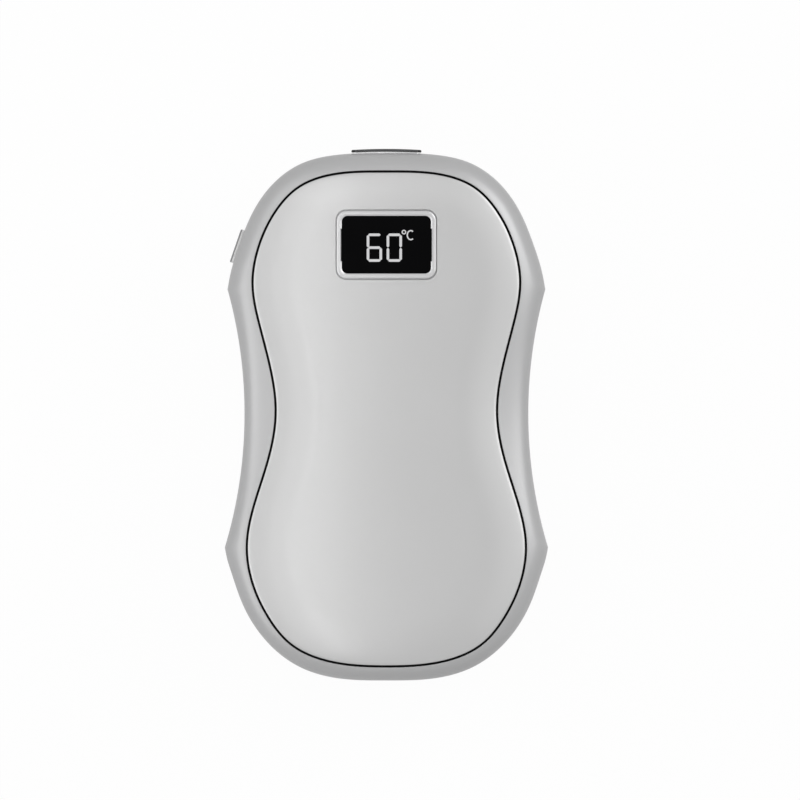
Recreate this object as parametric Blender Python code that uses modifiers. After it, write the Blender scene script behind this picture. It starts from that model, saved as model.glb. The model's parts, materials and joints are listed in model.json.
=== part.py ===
"""A rechargeable pocket hand warmer, modelled as its separate pieces in metres.

It lies on its rear heat plate, with the display facing up (+Z) and the charging port at the +Y end.
The housing is two moulded frames that meet at mid thickness. Each frame is a loft between the
waisted outer outline and the smooth outline of the seam round its heat plate.
"""

import math

import bmesh
import bpy
import numpy as np
from mathutils import Euler, Vector

# Outer outline of the housing, seen from the front. Its length, width and thickness follow from the
# cells and what lies round them, and are worked out below.
WAIST_SIDE_ROOM = 0.00845
UPPER_CORNER_SETBACK = 0.00055
UPPER_CORNER_DROP = 0.02795
LOWER_CORNER_RISE = 0.02725
WAIST_DEPTH = 0.00348
# Points of each end's dome, from its middle to its corner: share of the half width, share of the height
UPPER_DOME_SHARES = [
    (0.315, 0.985), (0.529, 0.925), (0.732, 0.751), (0.837, 0.575), (0.931, 0.311), (0.976, 0.143)]
LOWER_DOME_SHARES = [
    (0.272, 0.988), (0.538, 0.898), (0.739, 0.710), (0.885, 0.440), (0.963, 0.177), (0.986, 0.086)]

# Width of the frame's band between the outer outline and the seam
BAND_TOP = 0.00364
BAND_UPPER = 0.00514
BAND_WAIST = 0.00634
BAND_LOWER = 0.00452
BAND_BOTTOM = 0.00297
# The seam is widest a little above each corner, and narrowest at a share of the way between
SEAM_UPPER_RISE = 0.00092
SEAM_LOWER_RISE = 0.00051
SEAM_WAIST_SHARE = 0.488
SEAM_UPPER_SHARES = [(0.359, 0.982), (0.658, 0.859), (0.830, 0.644), (0.955, 0.333)]
SEAM_WAIST_UPPER_SHARES = [(0.729, 0.701), (0.192, 0.307)]
SEAM_WAIST_LOWER_SHARES = [(0.220, 0.323), (0.710, 0.669)]
SEAM_LOWER_SHARES = [(0.959, 0.314), (0.837, 0.611), (0.692, 0.809), (0.394, 0.962)]

# Section of the moulded frames
FRAME_WALL = 0.0018
PARTING_GAP = 0.0003
FRAME_STEP = 0.0001
RABBET_DEPTH = 0.0015
LEDGE_WIDTH = 0.0020
LEDGE_THICKNESS = 0.0012
LIP_HEIGHT = 0.0012
LIP_CLEARANCE = 0.0002
LIP_END_GAP = 0.0003
LIP_SPLIT_SHARE = 0.5
# How far the outer wall rises straight, and how far over its top edge starts, at the ends and at the waist
DOME_RISE_SHARE = 0.62
WAIST_RISE_SHARE = 0.84
DOME_EDGE_SHARE = 0.34
WAIST_EDGE_SHARE = 0.14
SEAM_SLOPE_SHARE = 0.36
INNER_EDGE_SHARE = 0.35
INNER_RISE_SHARE = 0.62
DOME_COLUMNS = 12
WAIST_COLUMNS = 8
OUTER_STEPS = 6
INNER_STEPS = 3
SPLINE_STEPS = 24
CORNER_STEPS = 3
LEAD_STEPS = 3
SMOOTH_ANGLE = 30.0
BEVEL_ANGLE = 40.0

# Heat plates
SEAM_GAP = 0.00038
PLATE_THICKNESS = 0.0010
PLATE_EDGE_DROP = 0.0016
PLATE_ROLL_WIDTH = 0.0090
PLATE_ROLL_SHARES = [0.0, 0.25, 0.58, 1.0]
PLATE_UNDER_SHARES = [0.0, 0.58, 1.0]
GASKET_THICKNESS = 0.0003
GASKET_SEAT_GAP = 0.00015
GASKET_SIDE_GAP = 0.00015

# Heating films and foam pads
FILM_INSET = 0.0105
FILM_THICKNESS = 0.00025
FILM_SEAT_GAP = 0.0002
FRONT_FILM_MARGIN = 0.0022
FOAM_WIDTH = 0.0220
FOAM_LENGTH = 0.0540
FOAM_THICKNESS = 0.00185
FOAM_CORNER_RADIUS = 0.0030

# Battery cells and their tray
CELL_DIAMETER = 0.0184
CELL_LENGTH = 0.0650
CELL_GAP = 0.0012
CELL_END_MARGIN = 0.0081
CELL_EDGE_RADIUS = 0.0008
CELL_CAP_DIAMETER = 0.0060
CELL_CAP_HEIGHT = 0.0008
CELL_CLEARANCE = 0.0003
TRAY_WALL = 0.0013
TRAY_HEIGHT = 0.0120
TRAY_END_SPACE = 0.0012
TRAY_CORNER_GAP = 0.0014
EAR_THICKNESS = 0.0012
EAR_RADIUS = 0.0029
EAR_ARM_WIDTH = 0.0050
STRIP_LENGTH = 0.0260
STRIP_WIDTH = 0.0060
STRIP_THICKNESS = 0.0003
STRIP_TAB_WIDTH = 0.0020
STRIP_END_CLEARANCE = 0.0005
STRIP_SIDE_CLEARANCE = 0.0004
PROTECTION_BOARD_LENGTH = 0.0340
PROTECTION_BOARD_HEIGHT = 0.0080
PROTECTION_BOARD_THICKNESS = 0.0010

# Screws and their bosses: distance from the top end, from the tray's top and from the bottom end, and
# from the seam's outline inwards
UPPER_BOSS_DROP = 0.0126
WAIST_BOSS_SETBACK = 0.0017
LOWER_BOSS_RISE = 0.0244
BOSS_INSET = 0.0026
REAR_BOSS_RADIUS = 0.0029
FRONT_BOSS_RADIUS = 0.0025
BOSS_ROOT = 0.0006
SCREW_RADIUS = 0.0010
SCREW_LENGTH = 0.0150
SCREW_HEAD_RADIUS = 0.0018
SCREW_HEAD_HEIGHT = 0.0013
SCREW_SLOT_WIDTH = 0.0005
SCREW_SLOT_DEPTH = 0.0006
SCREW_CLEARANCE = 0.0002
SCREW_TIP_GAP = 0.0006
RECESS_FLOOR_GAP = 0.0002

# Main board and what stands on it
SEAT_GAP = 0.0002
BOARD_THICKNESS = 0.0012
BOARD_INSET = 0.0038
BOARD_LOBE_REACH = 0.0029
BOARD_LOWER_GAP = 0.0005
BOARD_SIDE_GAP = 0.0007
CONTROLLER_SIZE = (0.0070, 0.0070, 0.0010)
CONTROLLER_PLACE = (-0.0048, 0.0210)
CHARGER_CHIP_SIZE = (0.0050, 0.0040, 0.0015)
CHARGER_CHIP_DROP = 0.0230
CHARGER_CHIP_GAP = 0.0005
INDUCTOR_SIZE = (0.0066, 0.0066, 0.0036)
INDUCTOR_PLACE = (0.0046, 0.0200)
INDUCTOR_CORNER_RADIUS = 0.0014
CAPACITOR_DIAMETER = 0.0050
CAPACITOR_HEIGHT = 0.0058
CAPACITOR_EDGE_RADIUS = 0.0004
CAPACITOR_PLACE = (0.0165, 0.0210)
CONNECTOR_SIZE = (0.0060, 0.0048, 0.0040)
CONNECTOR_WALL = 0.0007
CONNECTOR_DROP = 0.0276
CONNECTOR_GAP = 0.0011
BATTERY_CONNECTOR_GAP = 0.0005

# Display
DISPLAY_DROP = 0.0188
BEZEL_RIM = 0.00125
BEZEL_CORNER_RADIUS = 0.0022
BEZEL_GAP = 0.00015
BEZEL_DEPTH = 0.0019
BEZEL_FLANGE_WIDTH = 0.0011
BEZEL_FLANGE_THICKNESS = 0.0006
BEZEL_NECK_MARGIN = 0.0003
WINDOW_WIDTH = 0.0182
WINDOW_HEIGHT = 0.0118
WINDOW_CORNER_RADIUS = 0.0012
WINDOW_GAP = 0.0001
WINDOW_RECESS = 0.00015
WINDOW_THICKNESS = 0.0012
MODULE_SIDE_MARGIN = 0.0012
MODULE_END_MARGIN = 0.0011
MODULE_THICKNESS = 0.0026
BRACKET_MARGIN = 0.0017
BRACKET_THICKNESS = 0.0012
BRACKET_LEG_RADIUS = 0.0012
BRACKET_LEG_INSET = 0.0014
BRACKET_OPENING_SHARE = 0.55
RIBBON_WIDTH = 0.0070
RIBBON_THICKNESS = 0.00025
RIBBON_REACH = 0.0026
RIBBON_CLEARANCE = 0.0009

# Charging socket, its collar and the hinged cover
SOCKET_WIDTH = 0.00894
SOCKET_HEIGHT = 0.00316
SOCKET_LENGTH = 0.0073
SOCKET_WALL = 0.0003
SOCKET_SETBACK = 0.0006
SOCKET_CLEARANCE = 0.00023
TONGUE_WIDTH = 0.0067
TONGUE_THICKNESS = 0.0007
TONGUE_SETBACK = 0.0010
TONGUE_GAP = 0.0001
COLLAR_WIDTH = 0.0126
COLLAR_FRONT_REACH = 0.0034
COLLAR_REAR_REACH = 0.0062
COLLAR_DEPTH = 0.0032
COLLAR_RISE = 0.0002
COLLAR_CLEARANCE = 0.0002
COLLAR_FLANGE_REACH = 0.0011
COLLAR_FLANGE_THICKNESS = 0.00085
COLLAR_FLANGE_HEIGHT = 0.0046
COVER_WIDTH = 0.01435
COVER_THICKNESS = 0.00045
COVER_RISE = 0.00076
COVER_CROWN_RADIUS = 0.1150
COVER_OVERHANG = 0.00015
COVER_PAD_HEIGHT = 0.0007
COVER_PAD_CLEARANCE = 0.0004
COVER_OPEN_ANGLE = 110.0
HINGE_SINK = 0.0003
HINGE_REACH = 0.0039
HINGE_PIN_RADIUS = 0.0003
HINGE_PIN_LENGTH = 0.0112
HINGE_BARREL_RADIUS = 0.0008
HINGE_BARREL_LENGTH = 0.0092
HINGE_RUNNING_GAP = 0.0001
HINGE_SLOT_GAP = 0.00025

# Push button and its switch
BUTTON_DROP = 0.0192
BUTTON_LENGTH = 0.0071
BUTTON_HEIGHT = 0.0036
BUTTON_CORNER_RADIUS = 0.0013
BUTTON_PROUD = 0.0007
BUTTON_EDGE_RADIUS = 0.0002
BUTTON_CLEARANCE = 0.0002
BUTTON_TRAVEL = 0.0005
BUTTON_FLANGE_WIDTH = 0.0007
BUTTON_FLANGE_THICKNESS = 0.0008
BUTTON_FLANGE_GAP = 0.0005
SWITCH_SIZE = (0.0035, 0.0045, 0.0032)
SWITCH_BORE_SPARE = 0.0005
SWITCH_BORE_CLEARANCE = 0.0001
PLUNGER_RADIUS = 0.0010
PLUNGER_LENGTH = 0.0024
PLUNGER_GAP = 0.00015
PLUNGER_SPARE = 0.0003

# Leads and temperature sensors
LEAD_RADIUS = 0.0006
LEAD_END_GAP = 0.0003
LEAD_ARCH_HEIGHT = 0.0020
LEAD_RUN_POINTS = 5
SENSOR_RADIUS = 0.0009
SENSOR_LENGTH = 0.0030
SENSOR_X = -0.0090
SENSOR_CLEARANCE = 0.0003

# One overrun serves every cut
OVERRUN = 0.0010
# Points closer together than this are welded
WELD_DISTANCE = 0.000001

# Sizes of the housing, worked outwards from the cells
CELL_PITCH = CELL_DIAMETER + CELL_GAP
TRAY_HALF = CELL_PITCH / 2 + CELL_DIAMETER / 2 + CELL_CLEARANCE + TRAY_WALL
WAIST_HALF = TRAY_HALF + WAIST_SIDE_ROOM
UPPER_HALF = WAIST_HALF + WAIST_DEPTH
LOWER_HALF = UPPER_HALF + UPPER_CORNER_SETBACK
BODY_WIDTH = 2 * LOWER_HALF
HEAD_LENGTH = CONNECTOR_DROP + CONNECTOR_SIZE[1] / 2 + CONNECTOR_GAP + PROTECTION_BOARD_THICKNESS
HEAD_LENGTH += CELL_CLEARANCE + TRAY_WALL + TRAY_END_SPACE
BODY_LENGTH = HEAD_LENGTH + CELL_LENGTH + CELL_END_MARGIN
FACE_STACK = PLATE_THICKNESS + FILM_SEAT_GAP + FILM_THICKNESS + SEAT_GAP + FOAM_THICKNESS + CELL_CLEARANCE
BODY_THICKNESS = CELL_DIAMETER + 2 * FACE_STACK

# Places that follow from the sizes
TOP_Y = (BODY_LENGTH + COVER_RISE) / 2 - COVER_RISE
BOTTOM_Y = TOP_Y - BODY_LENGTH
MID_Z = BODY_THICKNESS / 2
UPPER_Y = TOP_Y - UPPER_CORNER_DROP
LOWER_Y = BOTTOM_Y + LOWER_CORNER_RISE
SEAM_HEIGHT = MID_Z - PLATE_EDGE_DROP - FRAME_STEP
LEDGE_HEIGHT = SEAM_HEIGHT - RABBET_DEPTH
LEDGE_UNDER = LEDGE_HEIGHT - LEDGE_THICKNESS
CELL_BOTTOM = BOTTOM_Y + CELL_END_MARGIN
CELL_TOP = CELL_BOTTOM + CELL_LENGTH
TRAY_BOTTOM = CELL_BOTTOM - TRAY_END_SPACE - TRAY_WALL
TRAY_TOP = CELL_TOP + TRAY_END_SPACE + TRAY_WALL
UPPER_BOSS_Y = TOP_Y - UPPER_BOSS_DROP
WAIST_BOSS_Y = TRAY_TOP - WAIST_BOSS_SETBACK
LOWER_BOSS_Y = BOTTOM_Y + LOWER_BOSS_RISE
BOARD_TOP = MID_Z - SOCKET_HEIGHT / 2 - SEAT_GAP
BOARD_BOTTOM = BOARD_TOP - BOARD_THICKNESS
PROTECTION_Y = TRAY_TOP + CELL_CLEARANCE + PROTECTION_BOARD_THICKNESS / 2
BOARD_LOWER_Y = PROTECTION_Y + PROTECTION_BOARD_THICKNESS / 2 + BOARD_LOWER_GAP
EAR_BOTTOM = BOARD_TOP + SEAT_GAP
EAR_TOP = EAR_BOTTOM + EAR_THICKNESS
DISPLAY_Y = TOP_Y - DISPLAY_DROP
BEZEL_WIDTH = WINDOW_WIDTH + 2 * BEZEL_RIM
BEZEL_HEIGHT = WINDOW_HEIGHT + 2 * BEZEL_RIM
MODULE_WIDTH = WINDOW_WIDTH + 2 * MODULE_SIDE_MARGIN
MODULE_HEIGHT = WINDOW_HEIGHT + 2 * MODULE_END_MARGIN
MODULE_SIZE = (MODULE_WIDTH, MODULE_HEIGHT, MODULE_THICKNESS)
BRACKET_HALF = MODULE_WIDTH / 2 + BRACKET_MARGIN
HEATER_CONNECTOR_X = BRACKET_HALF + CONNECTOR_SIZE[0] / 2
BATTERY_CONNECTOR_X = -HEATER_CONNECTOR_X - BATTERY_CONNECTOR_GAP
CHARGER_CHIP_PLACE = (-BRACKET_HALF - CHARGER_CHIP_GAP - CHARGER_CHIP_SIZE[0] / 2, CHARGER_CHIP_DROP)
PLATE_UNDER = BODY_THICKNESS - PLATE_THICKNESS
BEZEL_BOTTOM = BODY_THICKNESS - BEZEL_DEPTH
MODULE_TOP = BEZEL_BOTTOM - SEAT_GAP
MODULE_BOTTOM = MODULE_TOP - MODULE_THICKNESS
BRACKET_TOP = MODULE_BOTTOM - SEAT_GAP
BRACKET_BOTTOM = BRACKET_TOP - BRACKET_THICKNESS
BUTTON_Z = BOARD_TOP + SEAT_GAP + SWITCH_SIZE[2] / 2
HINGE_Y = TOP_Y - HINGE_SINK
HINGE_Z = MID_Z - HINGE_REACH
CONNECTOR_Y = TOP_Y - CONNECTOR_DROP
# The cover's outer face and the collar's top, measured outwards from the hinge's axis
COVER_TOP = COVER_RISE + HINGE_SINK
COLLAR_TOP = COLLAR_RISE + HINGE_SINK


# Scene, materials and basic shapes

def clear_scene():
    for obj in list(bpy.data.objects):
        bpy.data.objects.remove(obj)


def new_collection(name):
    collection = bpy.data.collections.new(name)
    bpy.context.scene.collection.children.link(collection)
    return collection


def new_material(name, colour, roughness, metallic=0.0):
    finish = bpy.data.materials.new(name)
    finish.use_nodes = True
    shader = finish.node_tree.nodes["Principled BSDF"]
    shader.inputs["Base Color"].default_value = (*colour, 1.0)
    shader.inputs["Roughness"].default_value = roughness
    shader.inputs["Metallic"].default_value = metallic
    return finish


def add_object(name, data, finish, centre=(0.0, 0.0, 0.0), turn=(0.0, 0.0, 0.0), parent=None):
    """Links a piece, or a cutter where no finish is given."""
    obj = bpy.data.objects.new(name, data)
    obj.location = centre
    obj.rotation_euler = turn
    obj.parent = parent
    if finish is None:
        CUTTERS.objects.link(obj)
        obj.hide_render = True
        obj.display_type = "WIRE"
    else:
        PARTS.objects.link(obj)
        data.materials.clear()
        data.materials.append(finish)
    return obj


def add_bmesh(name, shape, finish, **place):
    bmesh.ops.recalc_face_normals(shape, faces=shape.faces)
    mesh = bpy.data.meshes.new(name)
    shape.to_mesh(mesh)
    shape.free()
    mesh.shade_smooth()
    mesh.set_sharp_from_angle(angle=math.radians(SMOOTH_ANGLE))
    return add_object(name, mesh, finish, **place)


def new_empty(name, centre, turn=(0.0, 0.0, 0.0)):
    empty = bpy.data.objects.new(name, None)
    empty.location = centre
    empty.rotation_euler = turn
    PARTS.objects.link(empty)
    return empty


def box(name, size, centre, finish=None, edge=0.0, **place):
    shape = bmesh.new()
    bmesh.ops.create_cube(shape, size=1.0)
    bmesh.ops.scale(shape, vec=size, verts=shape.verts)
    obj = add_bmesh(name, shape, finish, centre=centre, **place)
    if edge:
        add_bevel(obj, edge)
    return obj


def add_bevel(obj, width, segments=2):
    bevel = obj.modifiers.new("edges", "BEVEL")
    bevel.width = width
    bevel.segments = segments
    bevel.limit_method = "ANGLE"
    bevel.angle_limit = math.radians(BEVEL_ANGLE)


def cylinders(name, radius, spans, finish=None, segments=12):
    """Upright cylinders in one mesh. Each span is an x, a y, a lower z and an upper z."""
    shape = bmesh.new()
    for x, y, low, high in spans:
        made = bmesh.ops.create_cone(
            shape, cap_ends=True, segments=segments, radius1=radius, radius2=radius, depth=high - low)
        bmesh.ops.translate(shape, vec=(x, y, (low + high) / 2), verts=made["verts"])
    return add_bmesh(name, shape, finish)


AXIS_TURNS = {
    "X": (0.0, math.pi / 2, 0.0),
    "Y": (-math.pi / 2, 0.0, 0.0),
    "Z": (0.0, 0.0, 0.0),
}


def rod(name, radius, length, centre, axis, finish=None, segments=24, parent=None):
    """A cylinder along one axis, centred on its place."""
    shape = bmesh.new()
    bmesh.ops.create_cone(
        shape, cap_ends=True, segments=segments, radius1=radius, radius2=radius, depth=length)
    return add_bmesh(name, shape, finish, centre=centre, turn=AXIS_TURNS[axis], parent=parent)


def turned(name, profile, centre, axis, finish, steps=28):
    """Spins a profile of radius and height, listed down its outer side, about its own axis."""
    shape = bmesh.new()
    rim = [shape.verts.new((radius, 0.0, height)) for radius, height in profile]
    for above, below in zip(rim, rim[1:]):
        shape.edges.new((above, below))
    mesh = bpy.data.meshes.new(name)
    shape.to_mesh(mesh)
    shape.free()
    obj = add_object(name, mesh, finish, centre=centre, turn=AXIS_TURNS[axis])
    screw = obj.modifiers.new("turn", "SCREW")
    screw.steps = steps
    screw.render_steps = steps
    screw.use_merge_vertices = True
    screw.merge_threshold = WELD_DISTANCE
    screw.use_smooth_shade = True
    return obj


OUTLINE_TURNS = {
    "X": Euler((math.pi / 2, 0.0, math.pi / 2)),
    "Y": Euler((math.pi / 2, 0.0, 0.0)),
    "Z": Euler((0.0, 0.0, 0.0)),
}


def outline_solid(name, outlines, thickness, centre, finish=None, facing="Z", parent=None):
    """A flat outline, with holes if more than one is given, extruded evenly about its own plane.

    Facing Y, the outline's own x and y lie along X and Z. Facing X, they lie along Y and Z.
    """
    curve = bpy.data.curves.new(name, "CURVE")
    curve.dimensions = "2D"
    curve.fill_mode = "BOTH"
    curve.extrude = thickness / 2
    for outline in outlines:
        spline = curve.splines.new("POLY")
        spline.points.add(len(outline) - 1)
        for point, (x, y) in zip(spline.points, outline):
            point.co = (x, y, 0.0, 1.0)
        spline.use_cyclic_u = True
    obj = bpy.data.objects.new(name + "_outline", curve)
    bpy.context.scene.collection.objects.link(obj)
    mesh = mesh_of(obj, name)
    bpy.data.objects.remove(obj)
    turn = OUTLINE_TURNS[facing]
    return add_object(name, mesh, finish, centre=centre, turn=turn, parent=parent)


def mesh_of(obj, name):
    """The evaluated object as a welded mesh."""
    bpy.context.view_layer.update()
    mesh = bpy.data.meshes.new_from_object(obj.evaluated_get(bpy.context.evaluated_depsgraph_get()))
    mesh.name = name
    shape = bmesh.new()
    shape.from_mesh(mesh)
    bmesh.ops.remove_doubles(shape, verts=shape.verts, dist=WELD_DISTANCE)
    bmesh.ops.recalc_face_normals(shape, faces=shape.faces)
    shape.to_mesh(mesh)
    shape.free()
    return mesh


def tube(name, route, radius, finish):
    """A lead of round section along a smooth route through the points given."""
    path = smooth(route, closed=False, steps=LEAD_STEPS)
    curve = bpy.data.curves.new(name, "CURVE")
    curve.dimensions = "3D"
    curve.bevel_depth = radius
    curve.bevel_resolution = 2
    curve.use_fill_caps = True
    spline = curve.splines.new("POLY")
    spline.points.add(len(path) - 1)
    for point, place in zip(spline.points, path):
        point.co = (*place, 1.0)
    return add_object(name, curve, finish)


def loft(name, rings, finish, closed_section):
    """Skins rings of matched points. A closed section joins the last ring to the first; an open
    one is capped at both ends."""
    shape = bmesh.new()
    skin = [[shape.verts.new(point) for point in ring] for ring in rings]
    count = len(skin[0])
    pairs = list(zip(skin, skin[1:]))
    if closed_section:
        pairs.append((skin[-1], skin[0]))
    else:
        shape.faces.new(skin[0])
        shape.faces.new(skin[-1])
    for near, far in pairs:
        for i in range(count):
            j = (i + 1) % count
            shape.faces.new((near[i], near[j], far[j], far[i]))
    return add_bmesh(name, shape, finish)


def boolean(target, operation, tools):
    for tool in tools:
        step = target.modifiers.new(tool.name, "BOOLEAN")
        step.operation = operation
        step.solver = "EXACT"
        step.object = tool


def cut(target, *tools):
    boolean(target, "DIFFERENCE", tools)


def join(target, *tools):
    boolean(target, "UNION", tools)


# Curves and outlines

def smooth(points, closed, steps=SPLINE_STEPS):
    """Points along the cubic spline through the given ones, even in slope and in curvature."""
    knots = np.array(points, float)
    count = len(knots)
    ahead = np.roll(knots, -1, axis=0) - knots
    if not closed:
        ahead = ahead[:-1]
    spans = np.linalg.norm(ahead, axis=1)
    system = np.zeros((count, count))
    pulls = np.zeros_like(knots)
    for i in range(count):
        first, last = i == 0 and not closed, i == count - 1 and not closed
        if first or last:
            span = 0 if first else -1
            system[i, i] = 2.0
            system[i, 1 if first else i - 1] = 1.0
            pulls[i] = 3 * ahead[span] / spans[span]
            continue
        before, after = spans[i - 1], spans[i]
        system[i, i - 1] += 1 / before
        system[i, i] += 2 / before + 2 / after
        system[i, (i + 1) % count] += 1 / after
        pulls[i] = 3 * (ahead[i - 1] / before ** 2 + ahead[i] / after ** 2)
    slopes = np.linalg.solve(system, pulls)
    t = np.linspace(0.0, 1.0, steps, endpoint=False)[:, None]
    path = []
    for i, span in enumerate(spans):
        j = (i + 1) % count
        path.append((2 * t ** 3 - 3 * t ** 2 + 1) * knots[i] + (t ** 3 - 2 * t ** 2 + t) * span * slopes[i]
                    + (3 * t ** 2 - 2 * t ** 3) * knots[j] + (t ** 3 - t ** 2) * span * slopes[j])
    if not closed:
        path.append(knots[-1:])
    return np.vstack(path)


def even_points(path, count):
    """That many points along a path, evenly spaced, with its first and without its last."""
    runs = np.concatenate([[0.0], np.cumsum(np.linalg.norm(np.diff(path, axis=0), axis=1))])
    stops = np.linspace(0.0, runs[-1], count, endpoint=False)
    return np.stack([np.interp(stops, runs, path[:, k]) for k in range(path.shape[1])], axis=1)


def dome(shares, half, corner_y, end_y):
    """One end of the outer outline, from its middle to its right corner."""
    right = [(half * across, corner_y + (end_y - corner_y) * up) for across, up in shares]
    right.append((half, corner_y))
    left = [(-x, y) for x, y in right[::-1]]
    path = smooth(left + [(0.0, end_y)] + right, closed=False)
    return path[len(path) // 2:]


def waist_arc():
    """The scooped side: the arc through both corners that touches the waist's half width."""
    upper_bite, lower_bite = UPPER_HALF - WAIST_HALF, LOWER_HALF - WAIST_HALF
    a = lower_bite - upper_bite
    b = 2 * (upper_bite * LOWER_Y - lower_bite * UPPER_Y)
    c = lower_bite * UPPER_Y ** 2 - upper_bite * LOWER_Y ** 2 - upper_bite * lower_bite * a
    q = -(b + math.copysign(math.sqrt(b * b - 4 * a * c), b)) / 2
    centre_y = c / q
    radius = (upper_bite ** 2 + (UPPER_Y - centre_y) ** 2) / (2 * upper_bite)
    start = math.asin((UPPER_Y - centre_y) / radius)
    end = math.asin((LOWER_Y - centre_y) / radius)
    angles = np.linspace(start, end, SPLINE_STEPS * 4)
    across = WAIST_HALF + radius - radius * np.cos(angles)
    return np.stack([across, centre_y + radius * np.sin(angles)], axis=1)


def seam_loop():
    """The smooth closed outline of the seam, clockwise from its top, and where its stretches part."""
    upper_y, lower_y = UPPER_Y + SEAM_UPPER_RISE, LOWER_Y + SEAM_LOWER_RISE
    upper, lower = UPPER_HALF - BAND_UPPER, LOWER_HALF - BAND_LOWER
    waist, waist_y = WAIST_HALF - BAND_WAIST, upper_y + (lower_y - upper_y) * SEAM_WAIST_SHARE
    top_y, bottom_y = TOP_Y - BAND_TOP, BOTTOM_Y + BAND_BOTTOM
    right = [(0.0, top_y)]
    right += [(upper * across, upper_y + (top_y - upper_y) * up) for across, up in SEAM_UPPER_SHARES]
    right.append((upper, upper_y))
    stretch_1 = len(right) - 1
    right += [(waist + (upper - waist) * out, waist_y + (upper_y - waist_y) * up)
              for out, up in SEAM_WAIST_UPPER_SHARES]
    right.append((waist, waist_y))
    right += [(waist + (lower - waist) * out, waist_y + (lower_y - waist_y) * down)
              for out, down in SEAM_WAIST_LOWER_SHARES]
    right.append((lower, lower_y))
    stretch_2 = len(right) - 1
    right += [(lower * across, lower_y + (bottom_y - lower_y) * down) for across, down in SEAM_LOWER_SHARES]
    right.append((0.0, bottom_y))
    left = [(-x, y) for x, y in right[-2:0:-1]]
    path = smooth(right + left, closed=True)
    stops = [0, stretch_1 * SPLINE_STEPS, stretch_2 * SPLINE_STEPS, (len(right) - 1) * SPLINE_STEPS]
    return path, stops


def matched_tracks():
    """The outer outline and the seam as columns matched one to one, clockwise from the top, and
    how far each column lies into the waist, from 0 to 1."""
    path, stops = seam_loop()
    outer_parts = [
        dome(UPPER_DOME_SHARES, UPPER_HALF, UPPER_Y, TOP_Y),
        waist_arc(),
        dome(LOWER_DOME_SHARES, LOWER_HALF, LOWER_Y, BOTTOM_Y)[::-1],
    ]
    seam_parts = [path[first:last + 1] for first, last in zip(stops, stops[1:])]
    counts = [DOME_COLUMNS, WAIST_COLUMNS, DOME_COLUMNS]
    tracks = []
    for parts in (outer_parts, seam_parts):
        right = [even_points(part, count) for part, count in zip(parts, counts)]
        right = np.vstack(right + [parts[-1][-1:]])
        left = right[-2:0:-1] * (-1.0, 1.0)
        tracks.append(np.vstack([right, left]))
    depth = [0.0] * DOME_COLUMNS
    depth += [math.sin(math.pi * i / WAIST_COLUMNS) for i in range(WAIST_COLUMNS)]
    depth += [0.0] * (DOME_COLUMNS + 1)
    depth += depth[-2:0:-1]
    return tracks[0], tracks[1], np.array(depth)


def inset(track, distance):
    """A clockwise closed track moved inwards, mitred where it turns."""
    before = track - np.roll(track, 1, axis=0)
    after = np.roll(track, -1, axis=0) - track
    before /= np.linalg.norm(before, axis=1)[:, None]
    after /= np.linalg.norm(after, axis=1)[:, None]
    inward_before = np.stack([before[:, 1], -before[:, 0]], axis=1)
    inward_after = np.stack([after[:, 1], -after[:, 0]], axis=1)
    middle = inward_before + inward_after
    middle /= np.linalg.norm(middle, axis=1)[:, None]
    reach = distance / (middle * inward_before).sum(axis=1)
    return track + middle * reach[:, None]


def at_height(track, height):
    """A flat track as points at one height, or at a height for each column."""
    heights = np.broadcast_to(height, len(track))
    return np.column_stack([track, heights])


def on_side(rings, side):
    """Rings measured from mid thickness, put on the front, 1, or the rear, -1."""
    return [ring * (1.0, 1.0, side) + (0.0, 0.0, MID_Z) for ring in rings]


def bezier(start, rise, edge, end, t):
    u = 1 - t
    return u ** 3 * start + 3 * u ** 2 * t * rise + 3 * u * t ** 2 * edge + t ** 3 * end


def rounded_rectangle(width, height, radius, centre=(0.0, 0.0)):
    points = []
    for quarter in range(4):
        sx, sy = ((1, 1), (-1, 1), (-1, -1), (1, -1))[quarter]
        corner_x = centre[0] + sx * (width / 2 - radius)
        corner_y = centre[1] + sy * (height / 2 - radius)
        for step in range(CORNER_STEPS + 1):
            angle = math.pi / 2 * (quarter + step / CORNER_STEPS)
            points.append((corner_x + radius * math.cos(angle), corner_y + radius * math.sin(angle)))
    return points


def pill(width, height):
    """A rectangle with fully round ends."""
    radius = height / 2
    points = []
    for side in (1, -1):
        for step in range(2 * CORNER_STEPS + 1):
            angle = math.pi * (step / (2 * CORNER_STEPS) - 0.5)
            x = width / 2 - radius + radius * math.cos(angle)
            points.append((side * x, side * radius * math.sin(angle)))
    return points


def half_width_at(track, y):
    """Half the width of a track at one height, read from its right side."""
    right = track[:len(track) // 2 + 1]
    return float(np.interp(-y, -right[:, 1], right[:, 0]))


def left_wall_place(track, y):
    """The point of the left wall at one height, and the angle of its outward normal about Z."""
    step = BUTTON_LENGTH / 2
    above, below = half_width_at(track, y + step), half_width_at(track, y - step)
    normal = Vector((-2 * step, below - above)).normalized()
    return (-half_width_at(track, y), y), math.atan2(normal.y, normal.x)


# Housing

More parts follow.
